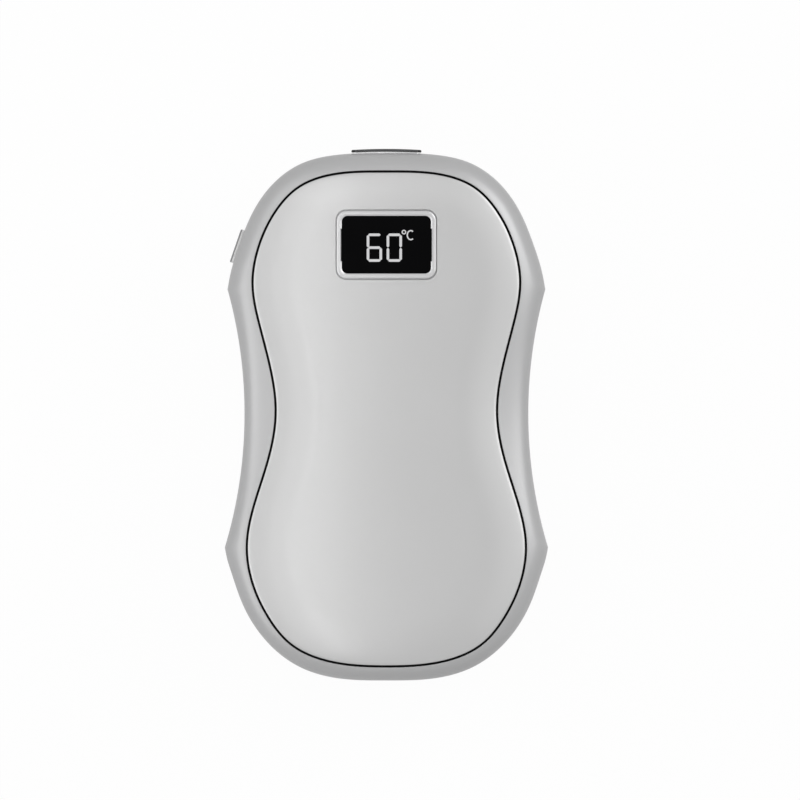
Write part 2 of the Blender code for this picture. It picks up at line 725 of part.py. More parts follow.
def frame_rings(side, outer, seam, depth):
    """Rings round one frame's closed section. Heights are measured from mid thickness: side is 1
    for the front frame, with the recess of the lip, and -1 for the rear one, with its tongue."""
    wall_track = inset(outer, FRAME_WALL)
    ledge_track = inset(seam, LEDGE_WIDTH)
    start = PARTING_GAP / 2
    rise_share = DOME_RISE_SHARE + (WAIST_RISE_SHARE - DOME_RISE_SHARE) * depth
    edge_share = DOME_EDGE_SHARE + (WAIST_EDGE_SHARE - DOME_EDGE_SHARE) * depth
    band = np.linalg.norm(seam - outer, axis=1)
    rise_height = start + (SEAM_HEIGHT - start) * rise_share
    edge_height = SEAM_HEIGHT - band * (1 - edge_share) * SEAM_SLOPE_SHARE
    rings = []
    for step in range(OUTER_STEPS + 1):
        t = step / OUTER_STEPS
        share = bezier(0.0, 0.0, edge_share, 1.0, t)
        height = bezier(start, rise_height, edge_height, SEAM_HEIGHT, t)
        rings.append(at_height(outer + (seam - outer) * share[:, None], height))
    rings.append(at_height(seam, LEDGE_HEIGHT))
    rings.append(at_height(ledge_track, LEDGE_HEIGHT))
    foot = LIP_HEIGHT + LIP_END_GAP if side > 0 else start
    inner_rise = foot + (LEDGE_UNDER - foot) * INNER_RISE_SHARE
    for step in range(INNER_STEPS + 1):
        t = step / INNER_STEPS
        share = bezier(0.0, INNER_EDGE_SHARE, 1.0, 1.0, t)
        height = bezier(LEDGE_UNDER, LEDGE_UNDER, inner_rise, foot, t)
        rings.append(at_height(ledge_track + (wall_track - ledge_track) * share, height))
    split = FRAME_WALL * LIP_SPLIT_SHARE
    if side > 0:
        lip_track = inset(outer, split - LIP_CLEARANCE / 2)
        rings.append(at_height(lip_track, foot))
    else:
        lip_track = inset(outer, split + LIP_CLEARANCE / 2)
        rings.append(at_height(wall_track, -LIP_HEIGHT))
        rings.append(at_height(lip_track, -LIP_HEIGHT))
    rings.append(at_height(lip_track, start))
    return on_side(rings, side)


def boss_places(seam):
    """Centres of the screw bosses on the right side, as x, y and what they hold."""
    places = []
    for y, holds in ((UPPER_BOSS_Y, "board"), (WAIST_BOSS_Y, "both"), (LOWER_BOSS_Y, "tray")):
        places.append((half_width_at(seam, y) - BOSS_INSET, y, holds))
    return places


def make_frames(outer, seam, depth, bosses):
    front = loft("front_frame", frame_rings(1, outer, seam, depth), SILVER, closed_section=True)
    rear = loft("rear_frame", frame_rings(-1, outer, seam, depth), SILVER, closed_section=True)
    front_posts, rear_posts, pilots, shanks, recesses = [], [], [], [], []
    seat = screw_seat()
    for x, y, holds in bosses:
        front_low = EAR_TOP + SEAT_GAP if holds != "board" else BOARD_TOP + SEAT_GAP
        rear_high = BOARD_BOTTOM - SEAT_GAP if holds != "tray" else EAR_BOTTOM - SEAT_GAP
        front_high = MID_Z + LEDGE_UNDER + BOSS_ROOT
        rear_low = MID_Z - LEDGE_HEIGHT + GASKET_SEAT_GAP
        for side_x in (x, -x):
            front_posts.append((side_x, y, front_low, front_high))
            rear_posts.append((side_x, y, rear_low, rear_high))
            pilots.append((side_x, y, front_low - OVERRUN, seat + SCREW_LENGTH + SCREW_TIP_GAP))
            shanks.append((side_x, y, rear_low - OVERRUN, rear_high + OVERRUN))
            recesses.append((side_x, y, rear_low - OVERRUN, seat + RECESS_FLOOR_GAP))
    join(front, cylinders("front_posts", FRONT_BOSS_RADIUS, front_posts))
    join(rear, cylinders("rear_posts", REAR_BOSS_RADIUS, rear_posts))
    cut(front, cylinders("pilot_holes", SCREW_RADIUS + SCREW_CLEARANCE, pilots))
    cut(rear, cylinders("shank_holes", SCREW_RADIUS + SCREW_CLEARANCE, shanks))
    cut(rear, cylinders("head_recesses", SCREW_HEAD_RADIUS + SCREW_CLEARANCE, recesses))
    return front, rear


def screw_seat():
    """Height of the face under a screw's head."""
    return MID_Z - LEDGE_HEIGHT + GASKET_SEAT_GAP + SCREW_HEAD_HEIGHT + RECESS_FLOOR_GAP


def make_screws(bosses):
    """Slotted screws, driven from the rear before the rear plate goes on."""
    seat = screw_seat()
    profile = [
        (0.0, SCREW_LENGTH), (SCREW_RADIUS, SCREW_LENGTH), (SCREW_RADIUS, 0.0), (SCREW_HEAD_RADIUS, 0.0),
        (SCREW_HEAD_RADIUS, -SCREW_HEAD_HEIGHT), (0.0, -SCREW_HEAD_HEIGHT)]
    slot_size = (2 * SCREW_HEAD_RADIUS + OVERRUN, SCREW_SLOT_WIDTH, 2 * SCREW_SLOT_DEPTH)
    places = [(side * x, y) for x, y, _ in bosses for side in (1, -1)]
    for number, (x, y) in enumerate(places, start=1):
        name = f"housing_screw_{number}"
        screw = turned(name, profile, (x, y, seat), "Z", STEEL, steps=12)
        cut(screw, box(name + "_slot", slot_size, (x, y, seat - SCREW_HEAD_HEIGHT)))


def plate_rings(side, seam):
    """Rings over a plate's face, down its edge and back under it. The rim rolls off to the seam."""
    edge = inset(seam, SEAM_GAP)
    outside = [plate_ring(edge, share, 0.0) for share in PLATE_ROLL_SHARES[::-1]]
    inside = [plate_ring(edge, share, PLATE_THICKNESS) for share in PLATE_UNDER_SHARES]
    return on_side(outside + inside, side)


def plate_ring(edge, share, depth):
    """One level line of a plate, at a share of the rolled rim's width in from the edge."""
    height = MID_Z - PLATE_EDGE_DROP * (1 - share) ** 2 - depth
    return at_height(inset(edge, PLATE_ROLL_WIDTH * share), height)


def make_plates(seam):
    front = loft("front_heat_plate", plate_rings(1, seam), PLATE_SILVER, closed_section=False)
    loft("rear_heat_plate", plate_rings(-1, seam), PLATE_SILVER, closed_section=False)
    hole = rounded_rectangle(BEZEL_WIDTH, BEZEL_HEIGHT, BEZEL_CORNER_RADIUS)
    opening = outline_solid("display_opening", [hole], 2 * (PLATE_THICKNESS + OVERRUN),
                            (0.0, DISPLAY_Y, BODY_THICKNESS))
    cut(front, opening)


def make_gaskets(seam):
    """Black foam rings between each ledge and the plate's rim. They show as the line in the seam."""
    outside = inset(seam, GASKET_SIDE_GAP)
    inside = inset(seam, LEDGE_WIDTH - GASKET_SIDE_GAP)
    low = LEDGE_HEIGHT + GASKET_SEAT_GAP
    high = low + GASKET_THICKNESS
    corners = ((outside, low), (outside, high), (inside, high), (inside, low))
    rings = [at_height(track, height) for track, height in corners]
    for side, name in ((1, "front_plate_gasket"), (-1, "rear_plate_gasket")):
        loft(name, on_side(rings, side), BLACK_FOAM, closed_section=True)


# Heating

def make_films(seam):
    """Flat heating films under the level part of each plate. The front one stops below the display."""
    outline = inset(seam, FILM_INSET)[::2]
    front_z = PLATE_UNDER - FILM_SEAT_GAP - FILM_THICKNESS / 2
    rear_z = BODY_THICKNESS - front_z
    front = outline_solid("front_heater_film", [outline], FILM_THICKNESS, (0.0, 0.0, front_z), FILM)
    outline_solid("rear_heater_film", [outline], FILM_THICKNESS, (0.0, 0.0, rear_z), FILM)
    cut_height = BODY_LENGTH / 2
    clip = box("film_clip", (BODY_WIDTH, cut_height, 2 * FILM_THICKNESS + OVERRUN),
               (0.0, front_film_top() + cut_height / 2, front_z))
    cut(front, clip)


def front_film_top():
    return DISPLAY_Y - BEZEL_HEIGHT / 2 - BEZEL_FLANGE_WIDTH - FRONT_FILM_MARGIN


def make_foam_pads():
    """Pads that press the films to the plates. Each lies between its film and the cells."""
    middle_y = (CELL_BOTTOM + CELL_TOP) / 2
    outline = rounded_rectangle(FOAM_WIDTH, FOAM_LENGTH, FOAM_CORNER_RADIUS)
    front_z = MID_Z + CELL_DIAMETER / 2 + CELL_CLEARANCE + FOAM_THICKNESS / 2
    rear_z = BODY_THICKNESS - front_z
    for name, z in (("front_foam_pad", front_z), ("rear_foam_pad", rear_z)):
        outline_solid(name, [outline], FOAM_THICKNESS, (0.0, middle_y, z), GREY_FOAM)


# Cells and tray

def make_cells():
    radius, edge = CELL_DIAMETER / 2, CELL_EDGE_RADIUS
    shoulder = CELL_LENGTH - CELL_CAP_HEIGHT
    cap = CELL_CAP_DIAMETER / 2
    profile = [
        (0.0, CELL_LENGTH), (cap, CELL_LENGTH), (cap, shoulder), (radius - edge, shoulder),
        (radius, shoulder - edge), (radius, edge), (radius - edge, 0.0), (0.0, 0.0)]
    for name, side in (("left_cell", -1), ("right_cell", 1)):
        turned(name, profile, (side * CELL_PITCH / 2, CELL_BOTTOM, MID_Z), "Y", CELL_WRAP)


def make_tray(outer, bosses):
    """A moulded cradle: a block with two bores, open front and back, whose lower corners follow
    the housing, and ears that the housing's screws clamp between their bosses."""
    length = TRAY_TOP - TRAY_BOTTOM
    middle_y = (TRAY_TOP + TRAY_BOTTOM) / 2
    tray = box("cell_tray", (2 * TRAY_HALF, length, TRAY_HEIGHT), (0.0, middle_y, MID_Z), DARK_PLASTIC)
    limit = outline_solid("tray_limit", [inset(outer, FRAME_WALL + TRAY_CORNER_GAP)], TRAY_HEIGHT + OVERRUN,
                          (0.0, 0.0, MID_Z))
    boolean(tray, "INTERSECT", [limit])
    ear_z = (EAR_BOTTOM + EAR_TOP) / 2
    holes, rounds = [], []
    for x, y, holds in bosses:
        if holds == "board":
            continue
        root = TRAY_HALF - TRAY_WALL / 2
        for side in (1, -1):
            rounds.append((side * x, y, EAR_BOTTOM, EAR_TOP))
            holes.append((side * x, y, EAR_BOTTOM - OVERRUN, EAR_TOP + OVERRUN))
            arm_y = min(y, TRAY_TOP - EAR_ARM_WIDTH / 2 - CELL_CLEARANCE)
            arm = box(f"ear_{holds}_{side}", (x - root, EAR_ARM_WIDTH, EAR_THICKNESS),
                      (side * (x + root) / 2, arm_y, ear_z))
            join(tray, arm)
    join(tray, cylinders("ear_rounds", EAR_RADIUS, rounds))
    bore_radius = CELL_DIAMETER / 2 + CELL_CLEARANCE
    for name, side in (("left_bore", -1), ("right_bore", 1)):
        bore = rod(name, bore_radius, CELL_LENGTH + 2 * TRAY_END_SPACE,
                   (side * CELL_PITCH / 2, middle_y, MID_Z), "Y", segments=28)
        cut(tray, bore)
    window_depth = TRAY_END_SPACE + TRAY_WALL
    window_width = STRIP_LENGTH + 2 * STRIP_END_CLEARANCE
    window_height = STRIP_WIDTH + 2 * STRIP_SIDE_CLEARANCE
    window_size = (window_width, window_depth + 2 * CELL_CLEARANCE, window_height)
    top_y, bottom_y = CELL_TOP + window_depth / 2, CELL_BOTTOM - window_depth / 2
    for name, y in (("top_window", top_y), ("bottom_window", bottom_y)):
        cut(tray, box(name, window_size, (0.0, y, MID_Z)))
    notch_width = STRIP_TAB_WIDTH + 2 * CELL_CLEARANCE
    notch = box("tab_notch", (notch_width, window_depth + 2 * CELL_CLEARANCE, TRAY_HEIGHT / 2 + OVERRUN),
                (0.0, bottom_y, MID_Z + (TRAY_HEIGHT / 2 + OVERRUN) / 2))
    cut(tray, notch)
    cut(tray, cylinders("ear_holes", SCREW_RADIUS + SCREW_CLEARANCE, holes))


def make_strips():
    """Nickel strips across the cells' ends. The negative one has a tab up to its lead."""
    half, band, tab = STRIP_LENGTH / 2, STRIP_WIDTH / 2, STRIP_TAB_WIDTH / 2
    offset = CELL_CLEARANCE + STRIP_THICKNESS / 2
    plain = [(-half, -band), (half, -band), (half, band), (-half, band)]
    outline_solid("positive_strip", [plain], STRIP_THICKNESS, (0.0, CELL_TOP + offset, MID_Z), NICKEL,
                  facing="Y")
    tab_top = TRAY_HEIGHT / 2
    tabbed = [(-half, -band), (half, -band), (half, band), (tab, band), (tab, tab_top), (-tab, tab_top),
              (-tab, band), (-half, band)]
    outline_solid("negative_strip", [tabbed], STRIP_THICKNESS, (0.0, CELL_BOTTOM - offset, MID_Z), NICKEL,
                  facing="Y")


def make_protection_board():
    size = (PROTECTION_BOARD_LENGTH, PROTECTION_BOARD_THICKNESS, PROTECTION_BOARD_HEIGHT)
    box("protection_board", size, (0.0, PROTECTION_Y, MID_Z), GREEN_BOARD)


# Main board

def make_main_board(outer, bosses):
    """The board follows the upper end of the housing. Two lobes reach down beside the tray."""
    outline = inset(outer, BOARD_INSET)[::2]
    middle_z = (BOARD_TOP + BOARD_BOTTOM) / 2
    board = outline_solid("main_board", [outline], BOARD_THICKNESS, (0.0, 0.0, middle_z), GREEN_BOARD)
    lobe_y = WAIST_BOSS_Y - BOARD_LOBE_REACH
    thick = BOARD_THICKNESS + OVERRUN
    below = box("board_end", (BODY_WIDTH, BODY_LENGTH, thick), (0.0, lobe_y - BODY_LENGTH / 2, middle_z))
    notch_half = TRAY_HALF + BOARD_SIDE_GAP
    notch_height = BOARD_LOWER_Y - lobe_y + OVERRUN
    notch = box("board_notch", (2 * notch_half, notch_height, thick),
                (0.0, BOARD_LOWER_Y - notch_height / 2, middle_z))
    holes = [(side * x, y, BOARD_BOTTOM - OVERRUN, BOARD_TOP + OVERRUN)
             for x, y, holds in bosses if holds != "tray" for side in (1, -1)]
    cut(board, below, notch, cylinders("board_holes", SCREW_RADIUS + SCREW_CLEARANCE, holes))


def on_board(size, place, drop_side=False):
    """Centre of a component that stands on the board, at an x and a distance from the top end."""
    x, drop = place
    if drop_side:
        return (x, TOP_Y - drop, BOARD_BOTTOM - SEAT_GAP - size[2] / 2)
    return (x, TOP_Y - drop, BOARD_TOP + SEAT_GAP + size[2] / 2)


def make_components():
    box("controller_chip", CONTROLLER_SIZE, on_board(CONTROLLER_SIZE, CONTROLLER_PLACE), BLACK_PLASTIC)
    box("charger_chip", CHARGER_CHIP_SIZE, on_board(CHARGER_CHIP_SIZE, CHARGER_CHIP_PLACE), BLACK_PLASTIC)
    outline = rounded_rectangle(INDUCTOR_SIZE[0], INDUCTOR_SIZE[1], INDUCTOR_CORNER_RADIUS)
    centre = on_board(INDUCTOR_SIZE, INDUCTOR_PLACE)
    outline_solid("power_inductor", [outline], INDUCTOR_SIZE[2], centre, GRAPHITE)
    radius, edge = CAPACITOR_DIAMETER / 2, CAPACITOR_EDGE_RADIUS
    profile = [(0.0, CAPACITOR_HEIGHT), (radius - edge, CAPACITOR_HEIGHT), (radius, CAPACITOR_HEIGHT - edge),
               (radius, edge), (radius - edge, 0.0), (0.0, 0.0)]
    x, drop = CAPACITOR_PLACE
    turned("filter_capacitor", profile, (x, TOP_Y - drop, BOARD_TOP + SEAT_GAP), "Z", STEEL, steps=20)
    connectors = [
        ("battery_connector", BATTERY_CONNECTOR_X, False),
        ("front_heater_connector", HEATER_CONNECTOR_X, False),
        ("rear_heater_connector", HEATER_CONNECTOR_X, True),
    ]
    for name, x, drop_side in connectors:
        centre = on_board(CONNECTOR_SIZE, (x, CONNECTOR_DROP), drop_side)
        connector = box(name, CONNECTOR_SIZE, centre, CREAM_PLASTIC)
        side = -1 if drop_side else 1
        well_size = [length - 2 * CONNECTOR_WALL for length in CONNECTOR_SIZE]
        well_z = centre[2] + side * (CONNECTOR_SIZE[2] / 2)
        cut(connector, box(name + "_well", well_size, (centre[0], centre[1], well_z)))


# Display

def make_display():
    place = (0.0, DISPLAY_Y)
    front = rounded_rectangle(BEZEL_WIDTH - 2 * BEZEL_GAP, BEZEL_HEIGHT - 2 * BEZEL_GAP,
                              BEZEL_CORNER_RADIUS - BEZEL_GAP)
    hole = rounded_rectangle(WINDOW_WIDTH, WINDOW_HEIGHT, WINDOW_CORNER_RADIUS)
    bezel = outline_solid("display_bezel", [front, hole], BEZEL_DEPTH,
                          (*place, BODY_THICKNESS - BEZEL_DEPTH / 2), BRIGHT_SILVER)
    flange_width, flange_height = BEZEL_WIDTH + 2 * BEZEL_FLANGE_WIDTH, BEZEL_HEIGHT + 2 * BEZEL_FLANGE_WIDTH
    flange_outline = rounded_rectangle(flange_width, flange_height, BEZEL_CORNER_RADIUS)
    neck = rounded_rectangle(WINDOW_WIDTH + 2 * BEZEL_NECK_MARGIN, WINDOW_HEIGHT + 2 * BEZEL_NECK_MARGIN,
                             WINDOW_CORNER_RADIUS)
    flange = outline_solid("bezel_flange", [flange_outline, neck], BEZEL_FLANGE_THICKNESS,
                           (*place, BEZEL_BOTTOM + BEZEL_FLANGE_THICKNESS / 2))
    join(bezel, flange)
    glass = rounded_rectangle(WINDOW_WIDTH - 2 * WINDOW_GAP, WINDOW_HEIGHT - 2 * WINDOW_GAP,
                              WINDOW_CORNER_RADIUS - WINDOW_GAP)
    window_z = BODY_THICKNESS - WINDOW_RECESS - WINDOW_THICKNESS / 2
    outline_solid("display_window", [glass], WINDOW_THICKNESS, (*place, window_z), BLACK_GLASS)
    box("display_module", MODULE_SIZE, (*place, (MODULE_TOP + MODULE_BOTTOM) / 2), BLACK_PLASTIC)
    make_bracket(place)
    make_ribbon()


def make_bracket(place):
    """A frame behind the display module, on four legs that stand on the board."""
    width, height = 2 * BRACKET_HALF, MODULE_HEIGHT + 2 * BRACKET_MARGIN
    edge = rounded_rectangle(width, height, BRACKET_LEG_RADIUS)
    opening = rounded_rectangle(width * BRACKET_OPENING_SHARE, height * BRACKET_OPENING_SHARE,
                                BRACKET_LEG_RADIUS)
    bracket = outline_solid("display_bracket", [edge, opening], BRACKET_THICKNESS,
                            (*place, (BRACKET_TOP + BRACKET_BOTTOM) / 2), DARK_PLASTIC)
    leg_x, leg_y = width / 2 - BRACKET_LEG_INSET, height / 2 - BRACKET_LEG_INSET
    foot, head = BOARD_TOP + SEAT_GAP, BRACKET_BOTTOM + BRACKET_THICKNESS / 2
    legs = [(side * leg_x, DISPLAY_Y + end * leg_y, foot, head) for side in (1, -1) for end in (1, -1)]
    join(bracket, cylinders("bracket_legs", BRACKET_LEG_RADIUS, legs))


def make_ribbon():
    """A flat flexible cable from the module, round the bracket and down to the board."""
    start_y = DISPLAY_Y - MODULE_SIZE[1] / 2 - SEAT_GAP
    outer_y = start_y - BRACKET_MARGIN - RIBBON_CLEARANCE
    start_z = (MODULE_TOP + MODULE_BOTTOM) / 2
    foot_z = BOARD_TOP + SEAT_GAP + RIBBON_THICKNESS / 2
    route = [(start_y, start_z), (outer_y, (start_z + BRACKET_TOP) / 2), (outer_y, BRACKET_BOTTOM),
             (outer_y, foot_z + RIBBON_CLEARANCE), (outer_y + RIBBON_CLEARANCE, foot_z),
             (outer_y + RIBBON_CLEARANCE + RIBBON_REACH, foot_z)]
    shape = bmesh.new()
    near = [shape.verts.new((-RIBBON_WIDTH / 2, y, z)) for y, z in route]
    edges = [shape.edges.new(pair) for pair in zip(near, near[1:])]
    swept = bmesh.ops.extrude_edge_only(shape, edges=edges)["geom"]
    far = [element for element in swept if isinstance(element, bmesh.types.BMVert)]
    bmesh.ops.translate(shape, vec=(RIBBON_WIDTH, 0.0, 0.0), verts=far)
    ribbon = add_bmesh("display_ribbon", shape, AMBER_FILM)
    wall = ribbon.modifiers.new("thickness", "SOLIDIFY")
    wall.thickness = RIBBON_THICKNESS
    wall.offset = 0.0


# Charging port

def make_socket():
    middle_y = TOP_Y - SOCKET_SETBACK - SOCKET_LENGTH / 2
    shell = outline_solid("usb_c_shell", [pill(SOCKET_WIDTH, SOCKET_HEIGHT)], SOCKET_LENGTH,
                          (0.0, middle_y, MID_Z), STEEL, facing="Y")
    inner = pill(SOCKET_WIDTH - 2 * SOCKET_WALL, SOCKET_HEIGHT - 2 * SOCKET_WALL)
    mouth_y = middle_y + SOCKET_WALL + OVERRUN / 2
    cut(shell, outline_solid("socket_mouth", [inner], SOCKET_LENGTH + OVERRUN,
                             (0.0, mouth_y, MID_Z), facing="Y"))
    root_y = middle_y - SOCKET_LENGTH / 2 + SOCKET_WALL + TONGUE_GAP
    tip_y = TOP_Y - SOCKET_SETBACK - TONGUE_SETBACK
    box("usb_c_tongue", (TONGUE_WIDTH, tip_y - root_y, TONGUE_THICKNESS), (0.0, (root_y + tip_y) / 2, MID_Z),
        BLACK_PLASTIC)


def crown_outline(half, crown_y, radius, base_y):
    """A block seen from the front: straight sides, a flat base and a crowned top."""
    points = [(-half, base_y), (half, base_y)]
    for step in range(2 * CORNER_STEPS + 1):
        x = half - half * step / CORNER_STEPS
        points.append((x, crown_y - radius + math.sqrt(radius ** 2 - x ** 2)))
    return points


def make_collar(front, rear):
    """A bright block that fills the port's cut-out in both frames. It has the hole for the socket
    and two ears for the cover's hinge pin, and a flange behind the wall holds it in."""
    low_z, high_z = MID_Z - COLLAR_REAR_REACH, MID_Z + COLLAR_FRONT_REACH
    middle_z, height = (low_z + high_z) / 2, high_z - low_z
    crown = COVER_CROWN_RADIUS - (COVER_RISE - COLLAR_RISE)
    outline = crown_outline(COLLAR_WIDTH / 2, TOP_Y + COLLAR_RISE, crown, TOP_Y - COLLAR_DEPTH)
    collar = outline_solid("port_collar", [outline], height, (0.0, 0.0, middle_z), BRIGHT_SILVER)
    flange_y = TOP_Y - COLLAR_DEPTH + COLLAR_FLANGE_THICKNESS / 2
    flange = box("collar_flange", (COLLAR_WIDTH + 2 * COLLAR_FLANGE_REACH, COLLAR_FLANGE_THICKNESS,
                                   COLLAR_FLANGE_HEIGHT), (0.0, flange_y, MID_Z))
    join(collar, flange)
    socket_hole = pill(SOCKET_WIDTH + 2 * SOCKET_CLEARANCE, SOCKET_HEIGHT + 2 * SOCKET_CLEARANCE)
    cut(collar, outline_solid("collar_hole", [socket_hole], 2 * (COLLAR_DEPTH + OVERRUN),
                              (0.0, TOP_Y, MID_Z), facing="Y"))
    open_angle = math.radians(COVER_OPEN_ANGLE)
    sweep = (COVER_TOP - COLLAR_TOP * math.cos(open_angle)) / math.sin(open_angle) + HINGE_SLOT_GAP
    slot_low, slot_high = HINGE_Z - sweep, HINGE_Z + HINGE_BARREL_RADIUS + HINGE_RUNNING_GAP
    slot_floor = HINGE_Y - HINGE_BARREL_RADIUS - HINGE_SLOT_GAP
    slot_top = TOP_Y + COLLAR_RISE + OVERRUN
    slot_size = (HINGE_BARREL_LENGTH + 2 * HINGE_SLOT_GAP, slot_top - slot_floor, slot_high - slot_low)
    slot = box("hinge_slot", slot_size, (0.0, (slot_top + slot_floor) / 2, (slot_low + slot_high) / 2))
    pin_hole = rod("pin_hole", HINGE_PIN_RADIUS + HINGE_RUNNING_GAP, HINGE_PIN_LENGTH + 2 * HINGE_RUNNING_GAP,
                   (0.0, HINGE_Y, HINGE_Z), "X", segments=16)
    cut(collar, slot, pin_hole)
    gap = COLLAR_CLEARANCE
    opening = box("port_opening", (COLLAR_WIDTH + 2 * gap, 2 * (COLLAR_DEPTH + OVERRUN), height + 2 * gap),
                  (0.0, TOP_Y, middle_z))
    cut(front, opening)
    cut(rear, opening)
    rod("port_hinge_pin", HINGE_PIN_RADIUS, HINGE_PIN_LENGTH, (0.0, HINGE_Y, HINGE_Z), "X", STEEL,
        segments=16)


def make_cover():
    """The hinged cover: a crowned flap, a barrel round the pin, and a pad that enters the port. Beside
    the barrel the flap's shoulders are cut back, so that they clear the collar when it is fully open."""
    axis = new_empty("port_cover_axis", (0.0, HINGE_Y, HINGE_Z))
    half = COVER_WIDTH / 2
    flap_front = COLLAR_FRONT_REACH + COVER_OVERHANG + HINGE_REACH
    outline = []
    for radius, crown_y, way in ((COVER_CROWN_RADIUS, COVER_TOP, 1),
                                 (COVER_CROWN_RADIUS - COVER_THICKNESS, COVER_TOP - COVER_THICKNESS, -1)):
        for step in range(2 * CORNER_STEPS + 1):
            x = way * (half * step / CORNER_STEPS - half)
            outline.append((x, crown_y - radius + math.sqrt(radius ** 2 - x ** 2)))
    cover = outline_solid("port_cover", [outline], flap_front, (0.0, 0.0, flap_front / 2), DARK_RUBBER,
                          parent=axis)
    barrel = rod("cover_barrel", HINGE_BARREL_RADIUS, HINGE_BARREL_LENGTH, (0.0, 0.0, 0.0), "X", segments=20,
                 parent=axis)
    pad_outline = pill(SOCKET_WIDTH - COVER_PAD_CLEARANCE, SOCKET_HEIGHT - COVER_PAD_CLEARANCE)
    pad_height = COVER_PAD_HEIGHT + COVER_THICKNESS / 2
    pad_y = COVER_TOP - COVER_THICKNESS / 2 - pad_height / 2
    pad = outline_solid("cover_pad", [pad_outline], pad_height, (0.0, pad_y, HINGE_REACH), facing="Y",
                        parent=axis)
    bore = rod("cover_bore", HINGE_PIN_RADIUS + HINGE_RUNNING_GAP, HINGE_PIN_LENGTH, (0.0, 0.0, 0.0), "X",
               segments=16, parent=axis)
    open_angle = math.radians(COVER_OPEN_ANGLE)
    clear_height = COLLAR_TOP + HINGE_SLOT_GAP
    setback = (clear_height - COVER_TOP * math.cos(open_angle)) / math.sin(open_angle)
    shoulder_width = half - HINGE_BARREL_LENGTH / 2 + OVERRUN
    shoulder_size = (shoulder_width, 2 * (COVER_TOP + OVERRUN), 2 * setback)
    for side in (1, -1):
        shoulder_x = side * (HINGE_BARREL_LENGTH + shoulder_width) / 2
        cut(cover, box(f"cover_shoulder_{side}", shoulder_size, (shoulder_x, 0.0, 0.0), parent=axis))
    join(cover, barrel, pad)
    cut(cover, bore)


# Push button

def make_button(outer, front, rear):
    """The button slides in its cut-out at the parting line. Its flange keeps it in, and a side
    switch on the board returns it. Locally +X points out of the wall."""
    (x, y), angle = left_wall_place(outer, TOP_Y - BUTTON_DROP)
    axis = new_empty("power_button_axis", (x, y, BUTTON_Z), (0.0, 0.0, angle))
    flange_out = -FRAME_WALL - BUTTON_FLANGE_GAP
    flange_in = flange_out - BUTTON_FLANGE_THICKNESS
    face = rounded_rectangle(BUTTON_LENGTH, BUTTON_HEIGHT, BUTTON_CORNER_RADIUS)
    cap_inner = flange_out - BUTTON_FLANGE_THICKNESS / 2
    button = outline_solid("power_button", [face], BUTTON_PROUD - cap_inner,
                           ((BUTTON_PROUD + cap_inner) / 2, 0.0, 0.0), BRIGHT_SILVER, facing="X", parent=axis)
    flange_size = (BUTTON_FLANGE_THICKNESS, BUTTON_LENGTH + 2 * BUTTON_FLANGE_WIDTH,
                   BUTTON_HEIGHT + 2 * BUTTON_FLANGE_WIDTH)
    join(button, box("button_flange", flange_size, ((flange_out + flange_in) / 2, 0.0, 0.0), parent=axis))
    add_bevel(button, BUTTON_EDGE_RADIUS, segments=1)
    gap = BUTTON_CLEARANCE
    hole = rounded_rectangle(BUTTON_LENGTH + 2 * gap, BUTTON_HEIGHT + 2 * gap, BUTTON_CORNER_RADIUS + gap)
    opening = outline_solid("button_opening", [hole], 2 * (FRAME_WALL + OVERRUN), (0.0, 0.0, 0.0),
                            facing="X", parent=axis)
    cut(front, opening)
    cut(rear, opening)
    plunger_out = flange_in - PLUNGER_GAP
    rod("switch_plunger", PLUNGER_RADIUS, PLUNGER_LENGTH, (plunger_out - PLUNGER_LENGTH / 2, 0.0, 0.0), "X",
        BLACK_PLASTIC, segments=20, parent=axis)
    switch_face = plunger_out - BUTTON_TRAVEL - PLUNGER_SPARE
    switch = box("switch_housing", SWITCH_SIZE, (switch_face - SWITCH_SIZE[0] / 2, 0.0, 0.0), BLACK_PLASTIC,
                 parent=axis)
    depth = PLUNGER_LENGTH - PLUNGER_SPARE + SWITCH_BORE_SPARE
    bore = rod("switch_bore", PLUNGER_RADIUS + SWITCH_BORE_CLEARANCE, depth + OVERRUN,
               (switch_face - (depth - OVERRUN) / 2, 0.0, 0.0), "X", segments=20, parent=axis)
    cut(switch, bore)


# Leads and sensors

